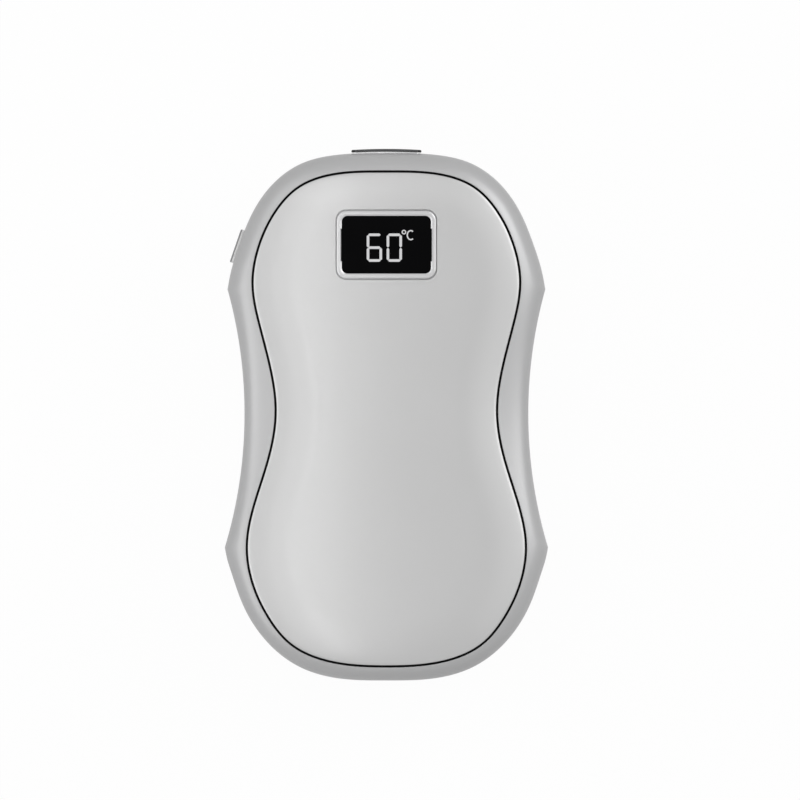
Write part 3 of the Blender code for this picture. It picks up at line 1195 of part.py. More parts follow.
def make_leads():
    reach = LEAD_RADIUS + LEAD_END_GAP
    board_edge = MID_Z + PROTECTION_BOARD_HEIGHT / 2 + LEAD_END_GAP
    connector_top = BOARD_TOP + SEAT_GAP + CONNECTOR_SIZE[2] + LEAD_END_GAP
    arch = board_edge + LEAD_ARCH_HEIGHT
    x = BATTERY_CONNECTOR_X
    tube("battery_lead_positive", [
        (x, PROTECTION_Y, board_edge), (x, PROTECTION_Y, board_edge + LEAD_ARCH_HEIGHT / 2),
        (x, (PROTECTION_Y + CONNECTOR_Y) / 2, arch + LEAD_RADIUS),
        (x, CONNECTOR_Y, arch - LEAD_ARCH_HEIGHT / 2),
        (x, CONNECTOR_Y, connector_top)], LEAD_RADIUS, RED_LEAD)
    strip_y = CELL_BOTTOM - CELL_CLEARANCE - STRIP_THICKNESS / 2
    turn = 4 * reach
    run_z = MID_Z + TRAY_HEIGHT / 2 + reach + LEAD_END_GAP
    run = [(0.0, y, run_z) for y in np.linspace(strip_y + turn, CELL_TOP - turn, LEAD_RUN_POINTS)]
    tube("battery_lead_negative", [
        (0.0, strip_y, run_z - reach), (0.0, strip_y + LEAD_RADIUS, run_z - LEAD_END_GAP), *run,
        (0.0, TRAY_TOP - LEAD_RADIUS, run_z), (0.0, PROTECTION_Y, run_z - reach),
        (0.0, PROTECTION_Y, board_edge)], LEAD_RADIUS, BLACK_LEAD)
    x = HEATER_CONNECTOR_X
    film_y = front_film_top() - turn / 2
    film_z = PLATE_UNDER - FILM_SEAT_GAP - FILM_THICKNESS - LEAD_END_GAP
    tube("front_heater_lead", [
        (x, film_y, film_z), (x, film_y, film_z - turn / 2),
        (x, (film_y + CONNECTOR_Y) / 2, BRACKET_TOP - reach),
        (x, CONNECTOR_Y, connector_top + turn / 2),
        (x, CONNECTOR_Y, connector_top)], LEAD_RADIUS, WHITE_LEAD)
    film_z = BODY_THICKNESS - film_z
    connector_low = BOARD_BOTTOM - SEAT_GAP - CONNECTOR_SIZE[2] - LEAD_END_GAP
    middle = (film_z + connector_low) / 2
    tube("rear_heater_lead", [
        (x, film_y, film_z), (x, film_y, film_z + LEAD_RADIUS),
        (x, (film_y + CONNECTOR_Y) / 2, middle),
        (x, CONNECTOR_Y, connector_low - LEAD_RADIUS),
        (x, CONNECTOR_Y, connector_low)], LEAD_RADIUS, WHITE_LEAD)


def make_sensors():
    """Glass bead sensors bonded under the films, beside the leads."""
    y = front_film_top() - SENSOR_RADIUS - SENSOR_CLEARANCE
    depth = FILM_SEAT_GAP + FILM_THICKNESS + SENSOR_CLEARANCE + SENSOR_RADIUS
    for name, z in (("front_thermistor", PLATE_UNDER - depth), ("rear_thermistor", PLATE_THICKNESS + depth)):
        rod(name, SENSOR_RADIUS, SENSOR_LENGTH, (SENSOR_X, y, z), "X", AMBER_FILM, segments=12)


clear_scene()
PARTS = new_collection("hand_warmer")
CUTTERS = new_collection("cutters")
SILVER = new_material("satin_silver_housing", (0.50, 0.50, 0.50), 0.42, 0.55)
PLATE_SILVER = new_material("satin_silver_plate", (0.56, 0.56, 0.56), 0.38, 0.65)
BRIGHT_SILVER = new_material("bright_silver_trim", (0.66, 0.66, 0.66), 0.30, 0.6)
BLACK_GLASS = new_material("black_window", (0.006, 0.006, 0.007), 0.08)
DARK_RUBBER = new_material("dark_grey_cover", (0.055, 0.055, 0.055), 0.55)
BLACK_FOAM = new_material("black_gasket", (0.008, 0.008, 0.008), 0.9)
GREY_FOAM = new_material("grey_foam", (0.10, 0.10, 0.11), 0.95)
FILM = new_material("heating_film", (0.45, 0.20, 0.03), 0.4)
AMBER_FILM = new_material("amber_film", (0.50, 0.25, 0.05), 0.4)
CELL_WRAP = new_material("cell_wrap", (0.04, 0.16, 0.35), 0.45)
NICKEL = new_material("nickel_strip", (0.62, 0.60, 0.56), 0.3, 1.0)
STEEL = new_material("steel", (0.55, 0.55, 0.56), 0.35, 1.0)
DARK_PLASTIC = new_material("dark_tray_plastic", (0.03, 0.03, 0.032), 0.6)
BLACK_PLASTIC = new_material("black_component", (0.015, 0.015, 0.016), 0.5)
GRAPHITE = new_material("ferrite", (0.08, 0.08, 0.085), 0.55)
CREAM_PLASTIC = new_material("connector_plastic", (0.75, 0.72, 0.62), 0.5)
GREEN_BOARD = new_material("circuit_board", (0.01, 0.11, 0.045), 0.45)
RED_LEAD = new_material("red_lead", (0.45, 0.015, 0.012), 0.5)
BLACK_LEAD = new_material("black_lead", (0.012, 0.012, 0.012), 0.5)
WHITE_LEAD = new_material("white_lead", (0.70, 0.70, 0.68), 0.5)

OUTER, SEAM, WAIST = matched_tracks()
BOSSES = boss_places(SEAM)
FRONT_FRAME, REAR_FRAME = make_frames(OUTER, SEAM, WAIST, BOSSES)
make_screws(BOSSES)
make_plates(SEAM)
make_gaskets(SEAM)
make_films(SEAM)
make_foam_pads()
make_cells()
make_tray(OUTER, BOSSES)
make_strips()
make_protection_board()
make_main_board(OUTER, BOSSES)
make_components()
make_display()
make_socket()
make_collar(FRONT_FRAME, REAR_FRAME)
make_cover()
make_button(OUTER, FRONT_FRAME, REAR_FRAME)
make_leads()
make_sensors()
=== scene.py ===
# A palm sized hand warmer: two heated plates in a waisted silver housing, with a temperature display,
# a push button and a charging port under a hinged cover. All places are in metres, in the frame of
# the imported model.
import json
import math

import bmesh
import bpy
import numpy as np
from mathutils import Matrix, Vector


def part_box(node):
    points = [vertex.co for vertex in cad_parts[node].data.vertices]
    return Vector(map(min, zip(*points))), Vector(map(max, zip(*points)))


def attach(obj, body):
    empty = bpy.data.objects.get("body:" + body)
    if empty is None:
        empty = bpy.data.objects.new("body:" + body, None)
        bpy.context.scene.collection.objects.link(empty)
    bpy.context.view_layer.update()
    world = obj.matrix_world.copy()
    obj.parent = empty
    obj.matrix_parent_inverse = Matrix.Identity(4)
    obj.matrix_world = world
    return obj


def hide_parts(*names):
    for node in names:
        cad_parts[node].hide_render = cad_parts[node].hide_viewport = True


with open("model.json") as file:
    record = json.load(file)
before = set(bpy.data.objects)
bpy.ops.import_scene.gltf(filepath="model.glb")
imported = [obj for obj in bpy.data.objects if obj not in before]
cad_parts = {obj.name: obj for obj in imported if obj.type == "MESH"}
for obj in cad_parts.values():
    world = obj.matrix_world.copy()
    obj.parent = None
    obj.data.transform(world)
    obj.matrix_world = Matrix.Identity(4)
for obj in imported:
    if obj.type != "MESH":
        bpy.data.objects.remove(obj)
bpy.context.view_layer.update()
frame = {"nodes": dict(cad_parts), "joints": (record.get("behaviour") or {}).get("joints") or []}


# Studio
# The warmer lies on its rear plate and is seen straight from above, from so far away that its sides
# hardly show. A white floor keeps its faint shadow. Soft lamps stand round it, and two strips close
# over the plate's left third give it its soft upright highlight.
PICTURE_WIDTH = 0.16379
PICTURE_CENTRE = (0.00278, 0.00303)
CAMERA_DISTANCE = 3.0
SENSOR_WIDTH = 36.0
FLOOR_SIZE = 6.0
FLOOR_DROP = 0.00005
FLOOR_GLOW_SHARE = 0.96
FLOOR_PALE = (0.9, 0.9, 0.9, 1.0)
WHITE = (1.0, 1.0, 1.0, 1.0)
AMBIENT = 0.455
ORIGIN = (0.0, 0.0, 0.0)
# Each lamp: place, target, width, height, power
LAMPS = {
    "plate_strip": ((-0.019, 0.005, 0.125), (-0.019, 0.005, 0.0), 0.004, 0.24, 0.0130),
    "plate_edge_strip": ((-0.045, 0.005, 0.125), (-0.035, 0.005, 0.0), 0.24, 0.040, 0.0145),
    "left_softbox": ((-0.65, -0.12, 0.27), ORIGIN, 0.70, 0.50, 1.4),
    "right_softbox": ((0.63, 0.24, 0.30), ORIGIN, 0.60, 0.60, 1.7),
    "upper_right_softbox": ((0.48, 0.48, 0.28), ORIGIN, 0.50, 0.50, 0.80),
    "upper_left_softbox": ((-0.48, 0.48, 0.28), ORIGIN, 0.50, 0.50, 0.50),
    "right_overhead": ((0.40, 0.05, 0.60), ORIGIN, 0.70, 0.40, 0.23),
    "left_overhead": ((-0.40, 0.05, 0.60), ORIGIN, 0.70, 0.40, 0.22),
    "upper_overhead": ((0.0, 0.40, 0.60), ORIGIN, 0.50, 0.30, 0.09),
}


class Link:
    """One output of a tree's nodes. Sums, products and comparisons add the Math nodes they need."""

    def __init__(self, tree, socket=None):
        self.tree = tree
        self.socket = socket

    def node(self, kind, settings=None, values=None, outlet=0):
        """Adds a node: first its settings, then its sockets' values or links, by name or number."""
        made = self.tree.nodes.new(kind)
        for name, value in (settings or {}).items():
            setattr(made, name, value)
        for name, value in (values or {}).items():
            if isinstance(value, Link):
                self.tree.links.new(value.socket, made.inputs[name])
            else:
                made.inputs[name].default_value = value
        return Link(self.tree, made.outputs[outlet])

    def math(self, operation, first, second=0.0):
        return self.node("ShaderNodeMath", {"operation": operation}, {0: first, 1: second})

    def blend(self, first, second):
        """A colour between two, with this link as the share of the second. The Mix node has sockets of
        one name for numbers and for colours, so they go by number here."""
        return self.node("ShaderNodeMix", {"data_type": "RGBA"}, {0: self, 6: first, 7: second}, 2)

    def __add__(self, other):
        return self.math("ADD", self, other)

    __radd__ = __add__

    def __sub__(self, other):
        return self.math("SUBTRACT", self, other)

    def __rsub__(self, other):
        return self.math("SUBTRACT", other, self)

    def __mul__(self, other):
        return self.math("MULTIPLY", self, other)

    __rmul__ = __mul__

    def __lt__(self, other):
        return self.math("LESS_THAN", self, other)

    def __gt__(self, other):
        return self.math("GREATER_THAN", self, other)

    def __abs__(self):
        return self.math("ABSOLUTE", self)


def seen_directly(start):
    """1 for camera, glossy and transmission rays, which meet the white background."""
    rays = start.node("ShaderNodeLightPath").socket.node.outputs
    camera_rays, glossy_rays, clear_rays = (
        Link(start.tree, rays[f"Is {kind} Ray"]) for kind in ("Camera", "Glossy", "Transmission"))
    return start.math("MINIMUM", camera_rays + glossy_rays + clear_rays, 1.0)


scene = bpy.context.scene
camera = bpy.data.objects.new("camera", bpy.data.cameras.new("camera"))
camera.data.sensor_width = SENSOR_WIDTH
camera.data.lens = SENSOR_WIDTH * CAMERA_DISTANCE / PICTURE_WIDTH
camera.data.clip_end = 2 * CAMERA_DISTANCE
camera.location = (*PICTURE_CENTRE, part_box("front_heat_plate")[1].z / 2 + CAMERA_DISTANCE)
scene.collection.objects.link(camera)
scene.camera = camera
scene.view_settings.view_transform = "Standard"

world = bpy.data.worlds.new("studio")
world.use_nodes = True
scene.world = world
start = Link(world.node_tree)
world_shader = world.node_tree.nodes["Background"]
world_shader.inputs["Color"].default_value = WHITE
glow = seen_directly(start) * (1 - AMBIENT) + AMBIENT
world.node_tree.links.new(glow.socket, world_shader.inputs["Strength"])

floor_mesh = bpy.data.meshes.new("floor")
reach = FLOOR_SIZE / 2
floor_corners = [(-reach, -reach), (reach, -reach), (reach, reach), (-reach, reach)]
floor_mesh.from_pydata([(x, y, -FLOOR_DROP) for x, y in floor_corners], [], [(0, 1, 2, 3)])
floor = bpy.data.objects.new("floor", floor_mesh)
scene.collection.objects.link(floor)
floor_finish = bpy.data.materials.new("white_floor")
floor_finish.use_nodes = True
start = Link(floor_finish.node_tree)
matt = start.node("ShaderNodeBsdfDiffuse", values={"Color": FLOOR_PALE})
bright = start.node("ShaderNodeEmission", values={"Color": WHITE, "Strength": 1.0})
mixed = start.node("ShaderNodeMixShader", values={
    0: seen_directly(start) * FLOOR_GLOW_SHARE, 1: matt, 2: bright})
floor_end = floor_finish.node_tree.nodes["Material Output"].inputs["Surface"]
floor_finish.node_tree.links.new(mixed.socket, floor_end)
floor_mesh.materials.append(floor_finish)

for name, (place, target, width, height, power) in LAMPS.items():
    lamp = bpy.data.objects.new(name, bpy.data.lights.new(name, "AREA"))
    lamp.data.shape = "RECTANGLE"
    lamp.data.size = width
    lamp.data.size_y = height
    lamp.data.energy = power
    lamp.location = place
    lamp.rotation_euler = (Vector(place) - Vector(target)).to_track_quat("Z", "Y").to_euler()
    lamp.visible_camera = False
    scene.collection.objects.link(lamp)


# Housing frames
# Two rings moulded in plastic and painted satin silver, one for the front and one for the rear. They
# meet in a fine groove round the side, and each rises from there to the seam round its heat plate.
UPPER_CORNER_SETBACK = 0.00055
UPPER_CORNER_DROP = 0.02795
LOWER_CORNER_RISE = 0.02725
WAIST_DEPTH = 0.00348
UPPER_DOME_SHARES = [
    (0.315, 0.985), (0.529, 0.925), (0.732, 0.751), (0.837, 0.575), (0.931, 0.311), (0.976, 0.143)]
LOWER_DOME_SHARES = [
    (0.272, 0.988), (0.538, 0.898), (0.739, 0.710), (0.885, 0.440), (0.963, 0.177), (0.986, 0.086)]
# Width of the frame's front face between its outline and the seam
BAND_TOP = 0.00375
BAND_UPPER = 0.00500
BAND_WAIST = 0.00624
BAND_LOWER = 0.00438
BAND_BOTTOM = 0.00283
SEAM_UPPER_RISE = 0.00092
SEAM_LOWER_RISE = 0.00051
SEAM_WAIST_SHARE = 0.488
SEAM_UPPER_SHARES = [(0.359, 0.982), (0.658, 0.859), (0.830, 0.644), (0.955, 0.333)]
SEAM_WAIST_UPPER_SHARES = [(0.729, 0.701), (0.192, 0.307)]
SEAM_WAIST_LOWER_SHARES = [(0.220, 0.323), (0.710, 0.669)]
SEAM_LOWER_SHARES = [(0.959, 0.314), (0.837, 0.611), (0.692, 0.809), (0.394, 0.962)]
# Section of the frames
FRAME_WALL = 0.0018
PARTING_GAP = 0.0003
GROOVE_ROUND = 0.00010
RIM_ROUND = 0.00006
RABBET_DEPTH = 0.0015
LEDGE_WIDTH = 0.0020
LEDGE_THICKNESS = 0.0012
LIP_HEIGHT = 0.0012
LIP_CLEARANCE = 0.0002
LIP_END_GAP = 0.0003
DOME_RISE_SHARE, WAIST_RISE_SHARE = 0.62, 0.84
DOME_EDGE_SHARE, WAIST_EDGE_SHARE = 0.34, 0.14
SEAM_SLOPE_SHARE = 0.36
INNER_EDGE_SHARE, INNER_RISE_SHARE = 0.35, 0.62
DOME_COLUMNS, WAIST_COLUMNS = 56, 48
OUTER_STEPS, INNER_STEPS, SPLINE_STEPS, WAIST_ARC_STEPS = 22, 6, 48, 192
CORNER_STEPS = 10
SHARP_ANGLE = 50.0
# The middle of a small rounded edge lies this share of its round away from both faces
EDGE_SHARE = 0.3
# Screw bosses inside the frames. The first four screws hold the main board, the last four the tray
REAR_BOSS_RADIUS, FRONT_BOSS_RADIUS = 0.0029, 0.0025
BOSS_SEGMENTS = 32
BOSS_ROOT = 0.0006
BOSS_FOOT_GAP = 0.00015
SEAT_GAP = 0.0002
EAR_THICKNESS = 0.0012
SCREW_HEAD_HEIGHT = 0.0013
SHANK_HOLE_RADIUS, HEAD_HOLE_RADIUS = 0.0012, 0.0020
PILOT_END_GAP = 0.0006
SCREW_COUNT = 6
BOARD_SCREWS, TRAY_SCREWS = (1, 2, 3, 4), (3, 4, 5, 6)
OVERRUN = 0.0010
# Openings in the wall for the port's collar and for the button
COLLAR_WIDTH = 0.0126
COLLAR_DEPTH = 0.0032
BUTTON_LENGTH, BUTTON_HEIGHT = 0.0071, 0.0036
BUTTON_CORNER_RADIUS = 0.0013
OPENING_GAP = 0.0002
SILVER_PAINT = (0.44, 0.44, 0.443, 1.0)
EDGE_TINT = (0.5, 0.5, 0.5, 1.0)
FLAKE_SHARE = 0.6

COLLAR_RISE = 0.0002
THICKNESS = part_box("front_heat_plate")[1].z
MID_Z = THICKNESS / 2
TOP_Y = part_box("port_collar")[1].y - COLLAR_RISE
BOTTOM_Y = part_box("front_frame")[0].y
LOWER_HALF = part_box("front_frame")[1].x
UPPER_HALF = LOWER_HALF - UPPER_CORNER_SETBACK
WAIST_HALF = UPPER_HALF - WAIST_DEPTH
UPPER_Y = TOP_Y - UPPER_CORNER_DROP
LOWER_Y = BOTTOM_Y + LOWER_CORNER_RISE
SEAM_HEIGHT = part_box("front_frame")[1].z - MID_Z
LEDGE_HEIGHT = SEAM_HEIGHT - RABBET_DEPTH
LEDGE_UNDER = LEDGE_HEIGHT - LEDGE_THICKNESS


def smooth(points, closed):
    """Points along the cubic spline through the given ones, even in slope and in curvature."""
    knots = np.array(points, float)
    count = len(knots)
    ahead = np.roll(knots, -1, axis=0) - knots
    if not closed:
        ahead = ahead[:-1]
    spans = np.linalg.norm(ahead, axis=1)
    system = np.zeros((count, count))
    pulls = np.zeros_like(knots)
    for i in range(count):
        first, last = i == 0 and not closed, i == count - 1 and not closed
        if first or last:
            span = 0 if first else -1
            system[i, i] = 2.0
            system[i, 1 if first else i - 1] = 1.0
            pulls[i] = 3 * ahead[span] / spans[span]
            continue
        before, after = spans[i - 1], spans[i]
        system[i, i - 1] += 1 / before
        system[i, i] += 2 / before + 2 / after
        system[i, (i + 1) % count] += 1 / after
        pulls[i] = 3 * (ahead[i - 1] / before ** 2 + ahead[i] / after ** 2)
    slopes = np.linalg.solve(system, pulls)
    t = np.linspace(0.0, 1.0, SPLINE_STEPS, endpoint=False)[:, None]
    path = []
    for i, span in enumerate(spans):
        j = (i + 1) % count
        path.append((2 * t ** 3 - 3 * t ** 2 + 1) * knots[i]
                    + (t ** 3 - 2 * t ** 2 + t) * span * slopes[i]
                    + (3 * t ** 2 - 2 * t ** 3) * knots[j]
                    + (t ** 3 - t ** 2) * span * slopes[j])
    if not closed:
        path.append(knots[-1:])
    return np.vstack(path)


def even_points(path, count):
    """That many points along a path, evenly spaced, with its first and without its last."""
    runs = np.concatenate([[0.0], np.cumsum(np.linalg.norm(np.diff(path, axis=0), axis=1))])
    stops = np.linspace(0.0, runs[-1], count, endpoint=False)
    return np.stack([np.interp(stops, runs, path[:, k]) for k in range(path.shape[1])], axis=1)


def dome(shares, half, corner_y, end_y):
    """One end of the outer outline, from its middle to its right corner."""
    right = [(half * across, corner_y + (end_y - corner_y) * up) for across, up in shares]
    right.append((half, corner_y))
    left = [(-x, y) for x, y in right[::-1]]
    path = smooth(left + [(0.0, end_y)] + right, closed=False)
    return path[len(path) // 2:]


def waist_arc():
    """The scooped side: the arc through both corners that touches the waist's half width."""
    upper_bite, lower_bite = UPPER_HALF - WAIST_HALF, LOWER_HALF - WAIST_HALF
    a = lower_bite - upper_bite
    b = 2 * (upper_bite * LOWER_Y - lower_bite * UPPER_Y)
    c = lower_bite * UPPER_Y ** 2 - upper_bite * LOWER_Y ** 2 - upper_bite * lower_bite * a
    centre_y = -2 * c / (b + math.copysign(math.sqrt(b * b - 4 * a * c), b))
    radius = (upper_bite ** 2 + (UPPER_Y - centre_y) ** 2) / (2 * upper_bite)
    start, end = (math.asin((y - centre_y) / radius) for y in (UPPER_Y, LOWER_Y))
    angles = np.linspace(start, end, WAIST_ARC_STEPS)
    across = WAIST_HALF + radius - radius * np.cos(angles)
    return np.stack([across, centre_y + radius * np.sin(angles)], axis=1)


def seam_parts():
    """The right half of the seam round the plate, from its top, in three stretches."""
    upper_y, lower_y = UPPER_Y + SEAM_UPPER_RISE, LOWER_Y + SEAM_LOWER_RISE
    upper, lower = UPPER_HALF - BAND_UPPER, LOWER_HALF - BAND_LOWER
    waist, waist_y = WAIST_HALF - BAND_WAIST, upper_y + (lower_y - upper_y) * SEAM_WAIST_SHARE
    top_y, bottom_y = TOP_Y - BAND_TOP, BOTTOM_Y + BAND_BOTTOM
    right = [(0.0, top_y)]
    right += [(upper * across, upper_y + (top_y - upper_y) * up) for across, up in SEAM_UPPER_SHARES]
    right.append((upper, upper_y))
    upper_stop = (len(right) - 1) * SPLINE_STEPS
    right += [(waist + (upper - waist) * out, waist_y + (upper_y - waist_y) * up)
              for out, up in SEAM_WAIST_UPPER_SHARES]
    right.append((waist, waist_y))
    right += [(waist + (lower - waist) * out, waist_y + (lower_y - waist_y) * down)
              for out, down in SEAM_WAIST_LOWER_SHARES]
    right.append((lower, lower_y))
    lower_stop = (len(right) - 1) * SPLINE_STEPS
    right += [(lower * across, lower_y + (bottom_y - lower_y) * down)
              for across, down in SEAM_LOWER_SHARES]
    right.append((0.0, bottom_y))
    left = [(-x, y) for x, y in right[-2:0:-1]]
    path = smooth(right + left, closed=True)
    stops = [0, upper_stop, lower_stop, (len(right) - 1) * SPLINE_STEPS]
    return [path[first:last + 1] for first, last in zip(stops, stops[1:])]


def closed_track(parts):
    """A clockwise loop of evenly spaced columns from the three stretches of its right half."""
    counts = (DOME_COLUMNS, WAIST_COLUMNS, DOME_COLUMNS)
    columns = [even_points(part, count) for part, count in zip(parts, counts)]
    right = np.vstack(columns + [parts[-1][-1:]])
    return np.vstack([right, right[-2:0:-1] * (-1.0, 1.0)])


def inset(track, distance):
    """A clockwise closed track moved inwards, mitred where it turns."""
    before = track - np.roll(track, 1, axis=0)
    after = np.roll(track, -1, axis=0) - track
    before /= np.linalg.norm(before, axis=1)[:, None]
    after /= np.linalg.norm(after, axis=1)[:, None]
    inward_before = np.stack([before[:, 1], -before[:, 0]], axis=1)
    middle = inward_before + np.stack([after[:, 1], -after[:, 0]], axis=1)
    middle /= np.linalg.norm(middle, axis=1)[:, None]
    return track + middle * (distance / (middle * inward_before).sum(axis=1))[:, None]


def at_height(track, height):
    """A flat track as points at one height, or at a height for each column."""
    return np.column_stack([track, np.broadcast_to(height, len(track))])


def on_side(rings, side):
    """Rings measured from mid thickness, put on the front, 1, or the rear, -1."""
    return [ring * (1.0, 1.0, side) + (0.0, 0.0, MID_Z) for ring in rings]


def bezier(start, rise, edge, end, t):
    u = 1 - t
    return u ** 3 * start + 3 * u ** 2 * t * rise + 3 * u * t ** 2 * edge + t ** 3 * end


def loft(name, rings, closed_section):
    """Skins rings of matched points. A closed section joins the last ring to the first; an open
    one is capped at both ends."""
    shape = bmesh.new()
    skin = [[shape.verts.new(point) for point in ring] for ring in rings]
    count = len(skin[0])
    pairs = list(zip(skin, skin[1:]))
    if closed_section:
        pairs.append((skin[-1], skin[0]))
    else:
        shape.faces.new(skin[0])
        shape.faces.new(skin[-1])
    for near, far in pairs:
        for i in range(count):
            j = (i + 1) % count
            shape.faces.new((near[i], near[j], far[j], far[i]))
    return new_piece(name, shape)


def new_piece(name, shape):
    """A linked object from a bmesh, with its faces turned outwards."""
    bmesh.ops.recalc_face_normals(shape, faces=shape.faces)
    mesh = bpy.data.meshes.new(name)
    shape.to_mesh(mesh)
    shape.free()
    obj = bpy.data.objects.new(name, mesh)
    scene.collection.objects.link(obj)
    return obj


def combine(target, operation, *tools):
    """Joins tools to a piece, or cuts them out of it, and removes them."""
    for tool in tools:
        step = target.modifiers.new(tool.name, "BOOLEAN")
        step.operation = operation
        step.solver = "EXACT"
        step.object = tool
    apply_steps(target)
    for tool in tools:
        bpy.data.objects.remove(tool)


def apply_steps(piece):
    """Turns a piece and its modifiers into one plain mesh."""
    bpy.context.view_layer.update()
    mesh = bpy.data.meshes.new_from_object(piece.evaluated_get(bpy.context.evaluated_depsgraph_get()))
    mesh.name = piece.name
    piece.modifiers.clear()
    piece.data = mesh


def dress(piece, body, slot, finish, *nodes, sharp=SHARP_ANGLE):
    """Shades a finished piece, gives it its material and puts it on its body, for the nodes given."""
    piece.data.shade_smooth()
    piece.data.set_sharp_from_angle(angle=math.radians(sharp))
    piece.data.materials.clear()
    piece.data.materials.append(finish)
    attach(piece, body)
    if nodes:
        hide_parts(*nodes)


def cylinders(name, radius, spans):
    """Upright cylinders in one mesh. Each span is an x, a y, a lower z and an upper z."""
    shape = bmesh.new()
    for x, y, low, high in spans:
        made = bmesh.ops.create_cone(shape, cap_ends=True, segments=BOSS_SEGMENTS, radius1=radius,
                                     radius2=radius, depth=high - low)
        bmesh.ops.translate(shape, vec=(x, y, (low + high) / 2), verts=made["verts"])
    return new_piece(name, shape)


def block(name, low, high):
    """A box between two corners."""
    shape = bmesh.new()
    bmesh.ops.create_cube(shape, size=1.0)
    bmesh.ops.scale(shape, vec=Vector(high) - Vector(low), verts=shape.verts)
    bmesh.ops.translate(shape, vec=(Vector(high) + Vector(low)) / 2, verts=shape.verts)
    return new_piece(name, shape)


OUTER = closed_track([
    dome(UPPER_DOME_SHARES, UPPER_HALF, UPPER_Y, TOP_Y),
    waist_arc(),
    dome(LOWER_DOME_SHARES, LOWER_HALF, LOWER_Y, BOTTOM_Y)[::-1],
])
SEAM = closed_track(seam_parts())
waist_curve = [math.sin(math.pi * step / WAIST_COLUMNS) for step in range(WAIST_COLUMNS)]
right_half = [0.0] * DOME_COLUMNS + waist_curve + [0.0] * (DOME_COLUMNS + 1)
# 1 in the middle of the waist, on both sides, falling to 0 over the domes
WAIST = np.array(right_half + right_half[-2:0:-1])


def frame_rings(side):
    """Rings round one frame's closed section. The front frame has the recess of the lip inside the
    groove, and the rear one has its tongue."""
    band = np.linalg.norm(SEAM - OUTER, axis=1)
    across = (SEAM - OUTER) / band[:, None]
    wall_track, ledge_track = inset(OUTER, FRAME_WALL), inset(SEAM, LEDGE_WIDTH)
    groove = PARTING_GAP / 2
    start = groove + GROOVE_ROUND
    rise_share = DOME_RISE_SHARE + (WAIST_RISE_SHARE - DOME_RISE_SHARE) * WAIST
    edge_share = DOME_EDGE_SHARE + (WAIST_EDGE_SHARE - DOME_EDGE_SHARE) * WAIST
    rise_height = start + (SEAM_HEIGHT - start) * rise_share
    edge_height = SEAM_HEIGHT - band * (1 - edge_share) * SEAM_SLOPE_SHARE
    rings = [at_height(inset(OUTER, GROOVE_ROUND), groove)]
    rings.append(at_height(inset(OUTER, GROOVE_ROUND * EDGE_SHARE), groove + GROOVE_ROUND * EDGE_SHARE))
    for step in range(OUTER_STEPS + 1):
        t = 0.5 - 0.5 * math.cos(math.pi * step / OUTER_STEPS)
        share = bezier(0.0, 0.0, edge_share, 1.0, t)
        height = bezier(start, rise_height, edge_height, SEAM_HEIGHT, t)
        rings.append(at_height(OUTER + across * (share * (band - RIM_ROUND))[:, None], height))
    rings.append(at_height(SEAM - across * RIM_ROUND * EDGE_SHARE,
                           SEAM_HEIGHT - RIM_ROUND * EDGE_SHARE))
    rings.append(at_height(SEAM, SEAM_HEIGHT - RIM_ROUND))
    rings.append(at_height(SEAM, LEDGE_HEIGHT))
    rings.append(at_height(ledge_track, LEDGE_HEIGHT))
    foot = LIP_HEIGHT + LIP_END_GAP if side > 0 else groove
    inner_rise = foot + (LEDGE_UNDER - foot) * INNER_RISE_SHARE
    for step in range(INNER_STEPS + 1):
        t = step / INNER_STEPS
        share = bezier(0.0, INNER_EDGE_SHARE, 1.0, 1.0, t)
        height = bezier(LEDGE_UNDER, LEDGE_UNDER, inner_rise, foot, t)
        rings.append(at_height(ledge_track + (wall_track - ledge_track) * share, height))
    if side > 0:
        lip_track = inset(OUTER, (FRAME_WALL - LIP_CLEARANCE) / 2)
        rings.append(at_height(lip_track, foot))
    else:
        lip_track = inset(OUTER, (FRAME_WALL + LIP_CLEARANCE) / 2)
        rings += [at_height(track, -LIP_HEIGHT) for track in (wall_track, lip_track)]
    rings.append(at_height(lip_track, groove))
    return on_side(rings, side)


front_frame = loft("front_frame_shell", frame_rings(1), closed_section=True)
rear_frame = loft("rear_frame_shell", frame_rings(-1), closed_section=True)


def node_span(node, direction):
    """The lowest and highest place of a node's points along a direction."""
    places = [point.co.dot(direction) for point in frame["nodes"][node].data.vertices]
    return min(places), max(places)


def rounded_outline(width, height, radius, steps=CORNER_STEPS):
    """A rectangle with round corners, from its right side round to the left."""
    points = []
    for quarter, (sx, sy) in enumerate(((1, 1), (-1, 1), (-1, -1), (1, -1))):
        for step in range(steps + 1):
            angle = math.pi / 2 * (quarter + step / steps)
            points.append((sx * (width / 2 - radius) + radius * math.cos(angle),
                           sy * (height / 2 - radius) + radius * math.sin(angle)))
    return np.array(points)


def outline_block(name, outline, low, high, place):
    """An outline drawn out between two distances. Place turns across, up and out into a point."""
    rings = [[place(x, y, out) for x, y in outline] for out in (low, high)]
    return loft(name, rings, closed_section=False)


joint = next(joint for joint in frame["joints"] if joint["name"] == "power_button_slide")
PRESS = Vector(joint["axis"]).normalized()
ALONG_WALL = Vector((0.0, 0.0, 1.0)).cross(PRESS)
button_low, button_high = node_span("power_button", ALONG_WALL)
BUTTON_MIDDLE = (button_low + button_high) / 2
BUTTON_FACE = node_span("power_button", PRESS)[0]
BUTTON_Z = sum(corner.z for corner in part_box("power_button")) / 2


def on_button(along, up, depth):
    """A point by its place along the wall, its height and its depth behind the button's face."""
    beside = PRESS * (BUTTON_FACE + depth) + ALONG_WALL * (BUTTON_MIDDLE + along)
    return beside + Vector((0.0, 0.0, BUTTON_Z + up))


